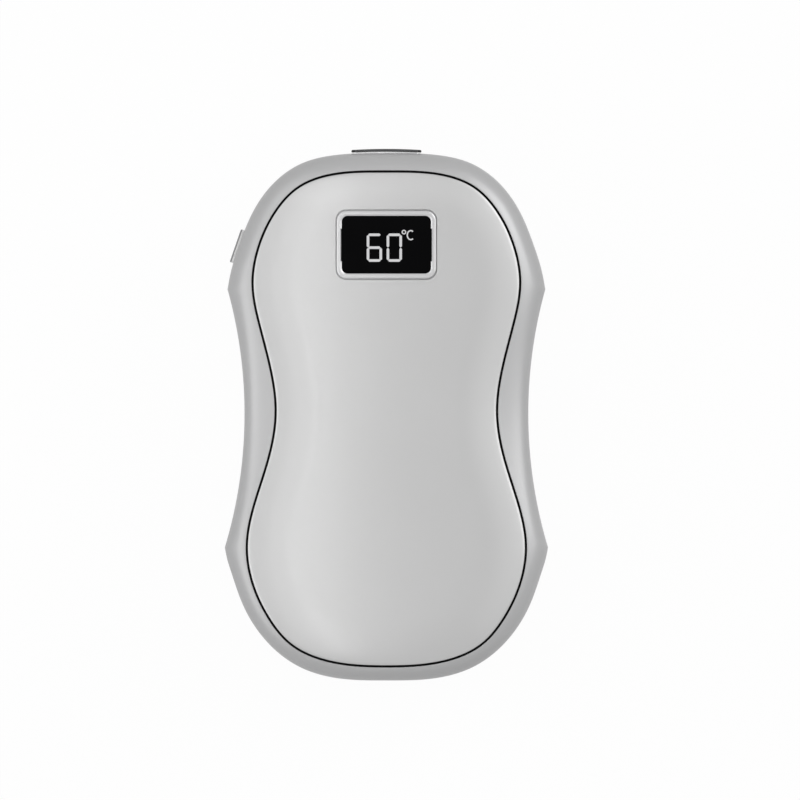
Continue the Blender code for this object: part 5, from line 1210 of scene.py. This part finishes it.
contact_y = tongue_high.y - CONTACT_SETBACK - CONTACT_LENGTH / 2
bar_rows("socket_contacts", [(0.0, contact_y, tongue_high.z), (0.0, contact_y, tongue_low.z)],
         CONTACT_COUNT, (CONTACT_PITCH, 0.0, 0.0), (CONTACT_WIDTH, CONTACT_LENGTH, CONTACT_THICKNESS),
         drawn_steel("gold_plating", GOLD_COLOUR, roughness=0.3), "nickel")

pin = rod("hinge_pin", HINGE_PIN_RADIUS, pin_half, HINGE, edge=PIN_END_ROUND)
dress(pin, "housing", "steel", steel, "port_hinge_pin")


# Port cover
# A dark grey hinged cover keeps dust out of the port. Its crowned flap stands a little off the collar,
# its rounded ends carry painted shade in black, and a soft pad under it goes into the socket's mouth.
COVER_WIDTH, COVER_THICKNESS = 0.01435, 0.00045
COVER_CORNER_RADIUS = 0.0011
COVER_EDGE_ROUND, COVER_END_STEPS = 0.0001, 8
COVER_PAD_HEIGHT, COVER_PAD_CLEARANCE = 0.0007, 0.0004
BARREL_END_ROUND = 0.00008
# How far the black painted shade reaches in from each rounded end of the cover
SHADED_END_LENGTH = 0.0007
DARK_GREY = (0.07, 0.07, 0.072, 1.0)
# The black of the painted shade on the cover's rounded ends
PAINTED_END_SHADE = (0.003, 0.003, 0.003, 1.0)

cover_half = COVER_WIDTH / 2
cover_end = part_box("port_cover")[1].z
cover_outside = HINGE_Y + COVER_TOP
cover_inside = cover_outside - COVER_THICKNESS
end_radius = COVER_THICKNESS / 2
mid_radius = COVER_CROWN_RADIUS - end_radius
end_middle = cover_outside - end_radius - mid_radius + math.sqrt(mid_radius ** 2 - cover_half ** 2)
crown_half = cover_half - end_radius
right_end = [(crown_half + end_radius * math.cos(angle), end_middle + end_radius * math.sin(angle))
             for angle in np.linspace(math.pi / 2, -math.pi / 2, COVER_END_STEPS + 1)[1:-1]]
cover_outline = [
    *crown(crown_half, cover_outside, COVER_CROWN_RADIUS), *right_end,
    *crown(crown_half, cover_inside, COVER_CROWN_RADIUS - COVER_THICKNESS, -1),
    *[(-x, y) for x, y in right_end[::-1]]]
cover = outline_block("cover_flap", cover_outline, HINGE_Z, cover_end, as_drawn)
overrun_width = COVER_WIDTH + 2 * OVERRUN
plan = rounded_outline(overrun_width, 2 * (cover_end - HINGE_Z), COVER_CORNER_RADIUS)
corner_limit = outline_block("corner_limit", plan * (COVER_WIDTH / overrun_width, 1.0), TOP_Y - OVERRUN,
                             TOP_Y + 2 * OVERRUN, lambda x, up, y: (x, y, HINGE_Z + up))
combine(cover, "INTERSECT", corner_limit)
setback = (COLLAR_TOP + HINGE_SLOT_GAP - COVER_TOP * math.cos(OPEN_ANGLE)) / math.sin(OPEN_ANGLE)
shoulder_near, shoulder_far = HINGE_BARREL_LENGTH / 2, cover_half + OVERRUN
combine(cover, "DIFFERENCE", *[
    block("shoulder", (left, HINGE_Y - OVERRUN, HINGE_Z - setback),
          (right, cover_outside + OVERRUN, HINGE_Z + setback))
    for left, right in ((shoulder_near, shoulder_far), (-shoulder_far, -shoulder_near))])
round_edges(cover, COVER_EDGE_ROUND)
pad_outline = pill(SOCKET_WIDTH - COVER_PAD_CLEARANCE, SOCKET_HEIGHT - COVER_PAD_CLEARANCE)
cover_pad = outline_block("cover_pad", pad_outline, cover_inside - COVER_PAD_HEIGHT,
                          cover_inside + COVER_THICKNESS / 2, facing_up)
barrel = rod("cover_barrel", HINGE_BARREL_RADIUS, HINGE_BARREL_LENGTH / 2, HINGE, edge=BARREL_END_ROUND)
combine(cover, "UNION", barrel, cover_pad)
combine(cover, "DIFFERENCE", rod("cover_bore", bore_radius, HINGE_BARREL_LENGTH, HINGE))
# Past its ends' place the cover's rubber turns black: painted shade on its rounded ends
dark_rubber = rubber("dark_grey_rubber", DARK_GREY, roughness=0.55,
                     ends=(cover_half - SHADED_END_LENGTH, PAINTED_END_SHADE))
dress(cover, "port_cover", "dark_cover", dark_rubber, "port_cover")


# Power button
# A pale moulded cap with a grey rubber face slides in a slot across the groove on the left side. A
# flange inside the wall keeps it in, and a small switch on the board pushes it back out.
FACE_THICKNESS, FACE_SEAT_GAP = 0.0003, 0.00001
FACE_GREY = (0.26, 0.26, 0.265, 1.0)
CAP_WHITE = (0.80, 0.80, 0.80, 1.0)
CAP_ROUND = 0.00022
CAP_DISH_DEPTH, CAP_DISH_MARGIN = 0.00008, 0.0006
# Between the dish's floor and its rim: a share of its margin and of its depth
CAP_DISH_SIDE_SHARES = (0.55, 0.25)
# A quarter round: shares of its radius inwards from the side and down from the face
ROUND_SHARES = [(1.0, 0.0), (0.5, 0.13), (0.13, 0.5), (0.0, 1.0)]
BUTTON_PROUD = 0.0007
BUTTON_FLANGE_WIDTH, BUTTON_FLANGE_THICKNESS, BUTTON_FLANGE_GAP = 0.0007, 0.0008, 0.0005


def cap_ring(margin, depth):
    """A ring of the button, at a distance inside the cap's outline and behind its face."""
    outline = rounded_outline(BUTTON_LENGTH - 2 * margin, BUTTON_HEIGHT - 2 * margin,
                              max(BUTTON_CORNER_RADIUS - margin, CAP_ROUND))
    return [on_button(along, up, depth) for along, up in outline]


margin_share, depth_share = CAP_DISH_SIDE_SHARES
button_face = loft("button_face", [
    cap_ring(CAP_DISH_MARGIN, CAP_DISH_DEPTH),
    cap_ring(CAP_DISH_MARGIN * margin_share, CAP_DISH_DEPTH * depth_share),
    *[cap_ring(CAP_ROUND * inward, CAP_ROUND * down) for inward, down in ROUND_SHARES],
    cap_ring(0.0, FACE_THICKNESS),
], closed_section=False)
flange_depth = BUTTON_PROUD + FRAME_WALL + BUTTON_FLANGE_GAP
button = loft("button_cap", [
    cap_ring(0.0, FACE_THICKNESS + FACE_SEAT_GAP),
    cap_ring(0.0, flange_depth),
    cap_ring(-BUTTON_FLANGE_WIDTH, flange_depth),
    cap_ring(-BUTTON_FLANGE_WIDTH, flange_depth + BUTTON_FLANGE_THICKNESS),
], closed_section=False)
grey_rubber = rubber("grey_button_face", FACE_GREY, roughness=0.6)
bright_cap = moulded_plastic("bright_cap", CAP_WHITE, roughness=0.35)
dress(button_face, "power_button", "dark_cover", grey_rubber)
dress(button, "power_button", "bright_trim", bright_cap, "power_button")


# Heater films
# A thin amber film lies under each plate. Carbon lines printed across it warm up between two silver bus
# lines, which are printed along it. The films are plain flat cuts, so the CAD nodes stay.
CARBON_PITCH, CARBON_SHARE = 0.0024, 0.45
BUS_INNER, BUS_OUTER = 0.0088, 0.0102
BUS_METALLIC = 0.7
FILM_AMBER = (0.42, 0.19, 0.035, 1.0)
CARBON_BLACK = (0.022, 0.020, 0.019, 1.0)
PRINTED_SILVER = (0.55, 0.54, 0.52, 1.0)


def refinish(finish, *nodes):
    """Gives a finish to CAD nodes that stay."""
    for node in nodes:
        for holder in frame["nodes"][node].material_slots:
            holder.material = finish


def stripes(finish, axis, pitch, share):
    """1 on stripes that lie side by side along an axis and cover that share of it."""
    return finish.math("FRACT", finish.along(axis) * (1 / pitch)) < share


def heating_film():
    finish = Finish("printed_heating_film", {"Specular IOR Level": 0.5, "Roughness": 0.28})
    across = abs(finish.along("X"))
    inside = across < BUS_OUTER
    carbon = stripes(finish, "Y", CARBON_PITCH, CARBON_SHARE) * inside
    bus = (across > BUS_INNER) * inside
    amber = shades(finish.speckle(scale=300.0), FILM_AMBER, dark=0.85, bright=1.15)
    return finish.feed({
        "Base Color": bus.blend(carbon.blend(amber, CARBON_BLACK), PRINTED_SILVER),
        "Metallic": bus * BUS_METALLIC,
        "Normal": bump(carbon + bus, strength=0.3, distance=0.00002)})


refinish(heating_film(), "front_heater_film", "rear_heater_film")


# Foam pads
# A pad of soft grey foam presses each film to its plate. It is cut from sheet, so its cut sides show
# open cells, and its edges are rounded off soft.
FOAM_EDGE_ROUND = 0.0006
FOAM_CORNER_RADIUS = 0.0030
FOAM_CELL_SHARE = 0.8
FOAM_GREY = (0.10, 0.10, 0.108, 1.0)


def foam_pad(name, node):
    """A pad in the place of a CAD node, with round corners and soft edges."""
    low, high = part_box(node)
    middle = (low + high) / 2
    levels = [(inward, low.z + FOAM_EDGE_ROUND * up) for inward, up in ROUND_SHARES]
    levels += [(inward, high.z - FOAM_EDGE_ROUND * down) for inward, down in ROUND_SHARES[::-1]]
    rings = []
    for inward, z in levels:
        margin = FOAM_EDGE_ROUND * inward
        outline = rounded_outline(high.x - low.x - 2 * margin, high.y - low.y - 2 * margin,
                                  FOAM_CORNER_RADIUS - margin)
        rings.append([(middle.x + x, middle.y + y, z) for x, y in outline])
    return loft(name, rings, closed_section=False)


def from_dots(finish, scale):
    """The distance to the nearest of scattered dots, so many to the metre."""
    values = {"Vector": finish.place(), "Scale": scale}
    return finish.node("ShaderNodeTexVoronoi", values=values, outlet="Distance")


def open_foam():
    finish = Finish("open_cell_foam", {"Specular IOR Level": 0.2})
    cells = from_dots(finish, scale=2600.0)
    both = cells * FOAM_CELL_SHARE + finish.speckle(scale=150.0) * (1 - FOAM_CELL_SHARE)
    return finish.feed({
        "Base Color": shades(both, FOAM_GREY, dark=0.5, bright=1.5),
        "Roughness": around(0.93, (cells, 0.1)),
        "Normal": bump(cells, strength=0.9, distance=0.0001)})


foam = open_foam()
for side in ("front", "rear"):
    pad = foam_pad(f"{side}_foam", f"{side}_foam_pad")
    dress(pad, "housing", "grey_foam", foam, f"{side}_foam_pad")


# Cells and tray
# Two round lithium cells lie side by side in a black moulded cradle. Each is a steel can in blue shrink
# wrap, with a white ring round its cap. Nickel strips are spot welded across their ends.
CELL_DIAMETER = 0.0184
CELL_SHOULDER_ROUND = 0.0008
CELL_CAP_RADIUS, CELL_CAP_HEIGHT = 0.0030, 0.0008
# The cap's profile: shares of its radius and, from the shoulder up, of its height
CELL_CAP_SHARES = [(1.0, 0.0), (1.0, 0.85), (0.94, 1.0)]
CELL_CAP_FOOT_SHARE, RING_INSIDE_SHARE = 1.1, 1.15
CELL_GROOVE_DEPTH = 0.0005
CELL_WRAP_LIP = 0.0016
WRAP_BLUE = (0.035, 0.15, 0.34, 1.0)
CAN_GREY = (0.56, 0.55, 0.53, 1.0)
RING_WHITE = (0.72, 0.72, 0.69, 1.0)
NICKEL_GREY = (0.60, 0.585, 0.55, 1.0)
TRAY_BLACK = (0.028, 0.028, 0.030, 1.0)
WELD_RADIUS, WELD_SETBACK = 0.0006, 0.0015
WELD_GREY = (0.25, 0.24, 0.22, 1.0)
BARE_METALLIC = 0.9

cell_low, cell_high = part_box("right_cell")
CELL_X = (cell_low.x + cell_high.x) / 2
cell_radius = CELL_DIAMETER / 2
wrap_end = cell_radius - CELL_WRAP_LIP
shoulder = cell_high.y - cell_low.y - CELL_CAP_HEIGHT


def wrapped_cell():
    """Blue wrap on the side, bare steel on the ends, and a white ring on the end with the cap."""
    finish = Finish("wrapped_cell", {"Specular IOR Level": 0.5})
    across, up = abs(finish.along("X")) - CELL_X, finish.along("Z") - MID_Z
    from_axis = finish.math("SQRT", across * across + up * up)
    bare = from_axis < wrap_end
    at_cap = finish.along("Y") > cell_high.y - 2 * CELL_CAP_HEIGHT
    ring = (from_axis > CELL_CAP_RADIUS * RING_INSIDE_SHARE) * bare * at_cap
    cloud = finish.speckle(scale=250.0)
    wrap = shades(cloud, WRAP_BLUE, dark=0.85, bright=1.2)
    return finish.feed({
        "Base Color": ring.blend(bare.blend(wrap, CAN_GREY), RING_WHITE),
        "Metallic": bare * (1 - ring) * BARE_METALLIC,
        "Roughness": around(0.33, (cloud, 0.10)),
        "Normal": bump(cloud, strength=0.1, distance=0.0001)})


cell_finish = wrapped_cell()
cell_profile = [
    *[(cell_radius - CELL_SHOULDER_ROUND * inward, CELL_SHOULDER_ROUND * up)
      for inward, up in ROUND_SHARES],
    *[(cell_radius - CELL_SHOULDER_ROUND * inward, shoulder - CELL_SHOULDER_ROUND * down)
      for inward, down in ROUND_SHARES[::-1]],
    (wrap_end, shoulder), (wrap_end, shoulder - CELL_GROOVE_DEPTH),
    (CELL_CAP_RADIUS * CELL_CAP_FOOT_SHARE, shoulder - CELL_GROOVE_DEPTH),
    *[(CELL_CAP_RADIUS * out, shoulder + CELL_CAP_HEIGHT * up) for out, up in CELL_CAP_SHARES]]
for name, x in (("left", -CELL_X), ("right", CELL_X)):
    cell = turned(f"{name}_round_cell", cell_profile, (x, cell_low.y, MID_Z), "Y", segments=64)
    dress(cell, "housing", "cell_wrap", cell_finish, f"{name}_cell")

refinish(moulded_plastic("black_tray", TRAY_BLACK, roughness=0.6), "cell_tray", "display_bracket")


def welded_nickel():
    """Rolled nickel with a pair of dull welds over each cell's end."""
    finish = Finish("welded_nickel", {"Metallic": 1.0})
    across = abs(abs(finish.along("X")) - CELL_X) - WELD_SETBACK
    up = finish.along("Z") - MID_Z
    weld = across * across + up * up < WELD_RADIUS ** 2
    cloud = finish.speckle(scale=500.0)
    rolled = shades(cloud, NICKEL_GREY, dark=0.88, bright=1.08)
    return finish.feed({
        "Base Color": weld.blend(rolled, WELD_GREY),
        "Roughness": around(0.45, (weld, 0.3), (cloud, 0.1)),
        "Normal": bump(weld, strength=0.5, distance=0.00005)})


refinish(welded_nickel(), "positive_strip", "negative_strip")


# Circuit boards
# The main board lies across the upper end of the housing, and a narrow protection board stands over the
# cells' ends. Both are green glass fibre boards with tracks under their lacquer and tinned holes.
TRACK_PITCH, TRACK_SHARE = 0.0006, 0.45
BARE_PATCH_SHARE = 0.5
HOLE_SCALE, HOLE_SHARE = 420.0, 0.10
FACE_LIMIT = 0.5
BOARD_GREEN = (0.008, 0.075, 0.030, 1.0)
TRACK_GREEN = (0.018, 0.15, 0.060, 1.0)
TIN_GREY = (0.60, 0.60, 0.58, 1.0)
FIBRE_TAN = (0.30, 0.27, 0.13, 1.0)


def circuit_board(name, face_axis, first_axis, second_axis):
    """A board whose faces look along an axis. Tracks run along the two others, a patch at a time."""
    finish = Finish(name, {"Specular IOR Level": 0.5})
    patch = finish.speckle(scale=260.0, detail=0.0) > BARE_PATCH_SHARE
    tracks = (stripes(finish, first_axis, TRACK_PITCH, TRACK_SHARE) * patch
              + stripes(finish, second_axis, TRACK_PITCH, TRACK_SHARE) * (1 - patch))
    tin = from_dots(finish, HOLE_SCALE) < HOLE_SHARE
    normal = finish.node("ShaderNodeNewGeometry", outlet="True Normal")
    side = abs(finish.along(face_axis, normal)) < FACE_LIMIT
    lacquered = tracks.blend(BOARD_GREEN, TRACK_GREEN)
    return finish.feed({
        "Base Color": side.blend(tin.blend(lacquered, TIN_GREY), FIBRE_TAN),
        "Metallic": tin * (1 - side) * BARE_METALLIC,
        "Roughness": around(0.475, (finish.speckle(scale=900.0), 0.15), (side, 0.3)),
        "Normal": bump(tracks, strength=0.4, distance=0.00003)})


refinish(circuit_board("main_green_board", "Z", "X", "Y"), "main_board")
refinish(circuit_board("protection_green_board", "Y", "X", "Z"), "protection_board")


# Board parts
# Soldered on the main board: two moulded chips on tinned legs, a ferrite inductor, a filter capacitor
# in an aluminium can, and small ceramic parts with tinned ends on the underside.
CHIP_EDGE_ROUND = 0.00012
MARK_RADIUS, MARK_DEPTH, MARK_SETBACK = 0.0003, 0.0001, 0.0008
LEG_PITCH, LEG_WIDTH, LEG_REACH, LEG_THICKNESS = 0.0010, 0.0004, 0.0003, 0.00015
FERRITE_GREY = (0.075, 0.075, 0.080, 1.0)
# The can's profile: shares of its radius and of its height
CAN_SHARES = [(0.96, 0.0), (1.0, 0.02), (1.0, 0.10), (0.93, 0.13), (0.93, 0.16),
              (1.0, 0.19), (1.0, 0.96), (0.97, 0.99), (0.92, 1.0)]
CAN_STRIPE_SETBACK = 0.0012
SMALL_PART_LENGTH, SMALL_PART_WIDTH, SMALL_PART_HEIGHT = 0.0016, 0.0008, 0.0007
SMALL_PART_COUNT, SMALL_PART_PITCH = 5, 0.0026
SMALL_PART_DROPS = (0.0190, 0.0214, 0.0238)
SMALL_PART_ENDS, SMALL_PART_BODY_SHARE = 0.0003, 0.94
CERAMIC_TAN = (0.24, 0.15, 0.08, 1.0)

tinned = drawn_steel("tinned_legs", TIN_GREY, roughness=0.3)
for name in ("controller", "charger"):
    low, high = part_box(f"{name}_chip")
    body = block(f"{name}_body", low, high)
    round_edges(body, CHIP_EDGE_ROUND, segments=2)
    combine(body, "DIFFERENCE", turned(
        "first_leg_mark", [(MARK_RADIUS, -MARK_DEPTH), (MARK_RADIUS, MARK_DEPTH)],
        (low.x + MARK_SETBACK, high.y - MARK_SETBACK, high.z), "Z", segments=24))
    dress(body, "housing", "component_black", black_moulding, f"{name}_chip")
    middle_y, leg_z = (low.y + high.y) / 2, board_high + LEG_THICKNESS / 2
    leg_count = int((high.y - low.y) / LEG_PITCH) - 1
    bar_rows(f"{name}_legs", [(low.x, middle_y, leg_z), (high.x, middle_y, leg_z)], leg_count,
             (0.0, LEG_PITCH, 0.0), (2 * LEG_REACH, LEG_WIDTH, LEG_THICKNESS), tinned, "nickel")

refinish(moulded_plastic("ferrite", FERRITE_GREY, roughness=0.55), "power_inductor")

can_low, can_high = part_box("filter_capacitor")
can_radius, can_height = (can_high.x - can_low.x) / 2, can_high.z - can_low.z
can_foot = ((can_low.x + can_high.x) / 2, (can_low.y + can_high.y) / 2, can_low.z)
can = turned("capacitor_can", [(can_radius * out, can_height * up) for out, up in CAN_SHARES], can_foot,
             "Z", segments=64)


def printed_can():
    """Bare aluminium with the black mark of the negative side."""
    finish = Finish("printed_can", {"Specular IOR Level": 0.5})
    stripe = finish.along("X") < can_low.x + CAN_STRIPE_SETBACK
    cloud = finish.speckle(scale=700.0)
    bare = shades(cloud, CAN_GREY, dark=0.95, bright=1.1)
    return finish.feed({
        "Base Color": stripe.blend(bare, MOULDED_BLACK),
        "Metallic": 1 - stripe,
        "Roughness": around(0.42, (stripe, 0.2), (cloud, 0.08))})


dress(can, "housing", "steel", printed_can(), "filter_capacitor")

small_step = (SMALL_PART_PITCH, 0.0, 0.0)
small_middles = [(0.0, TOP_Y - drop, board_low - SMALL_PART_HEIGHT / 2) for drop in SMALL_PART_DROPS]
end_x = (SMALL_PART_LENGTH - SMALL_PART_ENDS) / 2
end_middles = [(x, y, z) for _, y, z in small_middles for x in (end_x, -end_x)]
end_size = (SMALL_PART_ENDS, SMALL_PART_WIDTH, SMALL_PART_HEIGHT)
body_size = (SMALL_PART_LENGTH - 2 * SMALL_PART_ENDS, SMALL_PART_WIDTH * SMALL_PART_BODY_SHARE,
             SMALL_PART_HEIGHT * SMALL_PART_BODY_SHARE)
ceramic = moulded_plastic("brown_ceramic", CERAMIC_TAN, roughness=0.45)
bar_rows("ceramic_parts", small_middles, SMALL_PART_COUNT, small_step, body_size,
         ceramic, "component_black")
bar_rows("ceramic_part_ends", end_middles, SMALL_PART_COUNT, small_step, end_size,
         tinned, "nickel")


# Connectors and leads
# Cream moulded sockets on the board take the battery's and the films' leads, and hold two square pins
# each. The leads are stranded wire in coloured silicone. Their CAD nodes stay.
PIN_WIDTH, PIN_PITCH, PIN_TOP_GAP, PIN_ROOT = 0.0005, 0.0020, 0.0008, 0.0006
CREAM = (0.62, 0.58, 0.47, 1.0)
CONNECTORS = ("battery_connector", "front_heater_connector", "rear_heater_connector")
# Each silicone: its colour and the leads made of it
LEADS = {
    "lead_red": ((0.40, 0.014, 0.011, 1.0), ["battery_lead_positive"]),
    "lead_black": ((0.012, 0.012, 0.012, 1.0), ["battery_lead_negative"]),
    "lead_white": ((0.62, 0.62, 0.59, 1.0), ["front_heater_lead", "rear_heater_lead"]),
}

refinish(moulded_plastic("cream_moulding", CREAM, roughness=0.45), *CONNECTORS)
pin_middles = []
for node in CONNECTORS:
    low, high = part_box(node)
    middle = (low + high) / 2
    middle.z += (PIN_ROOT - PIN_TOP_GAP) / 2 * (-1 if low.z < board_low else 1)
    pin_middles.append(middle)
pin_size = (PIN_WIDTH, PIN_WIDTH, high.z - low.z - PIN_ROOT - PIN_TOP_GAP)
bar_rows("connector_pins", pin_middles, 2, (PIN_PITCH, 0.0, 0.0), pin_size, tinned, "nickel")
for name, (colour, nodes) in LEADS.items():
    refinish(rubber(name, colour, roughness=0.5), *nodes)


# Display module
# A black lamp module behind the window lights the digits. It rests on a moulded bracket that stands
# on the board on four legs, and a flat amber ribbon with copper tracks joins it to the board.
MODULE_EDGE_ROUND = 0.0003
RIBBON_TRACK_PITCH, RIBBON_TRACK_SHARE = 0.0008, 0.55
RIBBON_METALLIC = 0.6
COPPER = (0.55, 0.24, 0.10, 1.0)
module = block("display_lamp_module", *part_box("display_module"))
round_edges(module, MODULE_EDGE_ROUND)
dress(module, "housing", "component_black", black_moulding, "display_module")


def copper_ribbon():
    finish = Finish("copper_ribbon", {"Specular IOR Level": 0.5, "Roughness": 0.3})
    tracks = stripes(finish, "X", RIBBON_TRACK_PITCH, RIBBON_TRACK_SHARE)
    amber = shades(finish.speckle(scale=400.0), FILM_AMBER, dark=0.8, bright=1.1)
    return finish.feed({
        "Base Color": tracks.blend(amber, COPPER),
        "Metallic": tracks * RIBBON_METALLIC,
        "Normal": bump(tracks, strength=0.3, distance=0.00003)})


refinish(copper_ribbon(), "display_ribbon")


# Button switch
# A small side push switch is soldered to the board. Its housing is moulded in black plastic, and the
# button's flange presses its round grey plunger. Both CAD nodes stay.
refinish(black_moulding, "switch_housing")
refinish(moulded_plastic("grey_plunger", DARK_GREY, roughness=0.4), "switch_plunger")


# Thermistors
# A small sensor is bonded under each film, and tells the controller how warm the plate is. It is
# dipped in an amber coating, so it is a bead with round ends.
BEAD_END_ROUND = 0.0005
bead_finish = rubber("amber_bead", FILM_AMBER, roughness=0.25, shine=0.5)
for side in ("front", "rear"):
    low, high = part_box(f"{side}_thermistor")
    bead = rod(f"{side}_sensor_bead", (high.z - low.z) / 2, (high.x - low.x) / 2, (low + high) / 2,
               edge=BEAD_END_ROUND)
    dress(bead, "housing", "heating_film", bead_finish, f"{side}_thermistor")


# Housing screws
# Six steel pan head screws go up from the rear through its bosses and cut their own thread in the front
# ones. A turned body, a slot across the head and a rolled thread, set at each boss.
THREAD_PITCH, THREAD_DEPTH = 0.0006, 0.00016
# A turn of the thread: where its root ends and its crest lies, as shares of the pitch
THREAD_ROOT_SHARE, THREAD_CREST_SHARE = 0.4, 0.7
SCREW_RADIUS, SCREW_HEAD_RADIUS = 0.0010, 0.0018
# The head's profile: shares of its radius and of its height
SCREW_HEAD_SHARES = [(0.80, 0.0), (0.93, 0.16), (1.0, 0.45), (1.0, 1.0)]
SCREW_SLOT_WIDTH, SCREW_SLOT_DEPTH = 0.0005, 0.0006
SCREW_TIP_LENGTH, SCREW_TIP_SHARE = 0.0008, 0.4
SCREW_GREY = (0.46, 0.46, 0.47, 1.0)


def one_screw(length):
    """A screw at the origin, with its head below and its tip up."""
    profile = [(SCREW_HEAD_RADIUS * out, SCREW_HEAD_HEIGHT * up) for out, up in SCREW_HEAD_SHARES]
    root, tip = SCREW_RADIUS - THREAD_DEPTH, length - SCREW_TIP_LENGTH
    place = SCREW_HEAD_HEIGHT
    while place < tip - THREAD_PITCH:
        profile += [(root, place), (root, place + THREAD_ROOT_SHARE * THREAD_PITCH),
                    (SCREW_RADIUS, place + THREAD_CREST_SHARE * THREAD_PITCH)]
        place += THREAD_PITCH
    profile += [(root, place), (root, tip), (root * SCREW_TIP_SHARE, length)]
    screw = turned("screw", profile, ORIGIN, "Z", segments=24)
    combine(screw, "DIFFERENCE", block(
        "screw_slot", (-SCREW_HEAD_RADIUS, -SCREW_SLOT_WIDTH / 2, -SCREW_SLOT_DEPTH),
        (SCREW_HEAD_RADIUS, SCREW_SLOT_WIDTH / 2, SCREW_SLOT_DEPTH)))
    return screw


def copy_tree():
    """A copy of one object at each point of the carrier."""
    tree = Geometry("copies", Object="Object")
    values = {"Object": tree.size("Object")}
    source = tree.node("GeometryNodeObjectInfo", values=values, outlet="Geometry")
    return tree.end(tree.spread(tree.size("Geometry"), source))


screw_nodes = [f"housing_screw_{number}" for number in range(1, SCREW_COUNT + 1)]
screw_boxes = [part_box(node) for node in screw_nodes]
screw_places = bpy.data.meshes.new("screw_places")
screw_places.from_pydata(
    [((low.x + high.x) / 2, (low.y + high.y) / 2, low.z) for low, high in screw_boxes], [], [])
screw_steel = drawn_steel("screw_steel", SCREW_GREY, roughness=0.36)
screw = one_screw(screw_boxes[0][1].z - screw_boxes[0][0].z)
screws = grow("housing_screws", screw_places, copy_tree(), Object=screw, Material=screw_steel)
bpy.data.objects.remove(screw)
dress(screws, "housing", "steel", screw_steel, *screw_nodes)
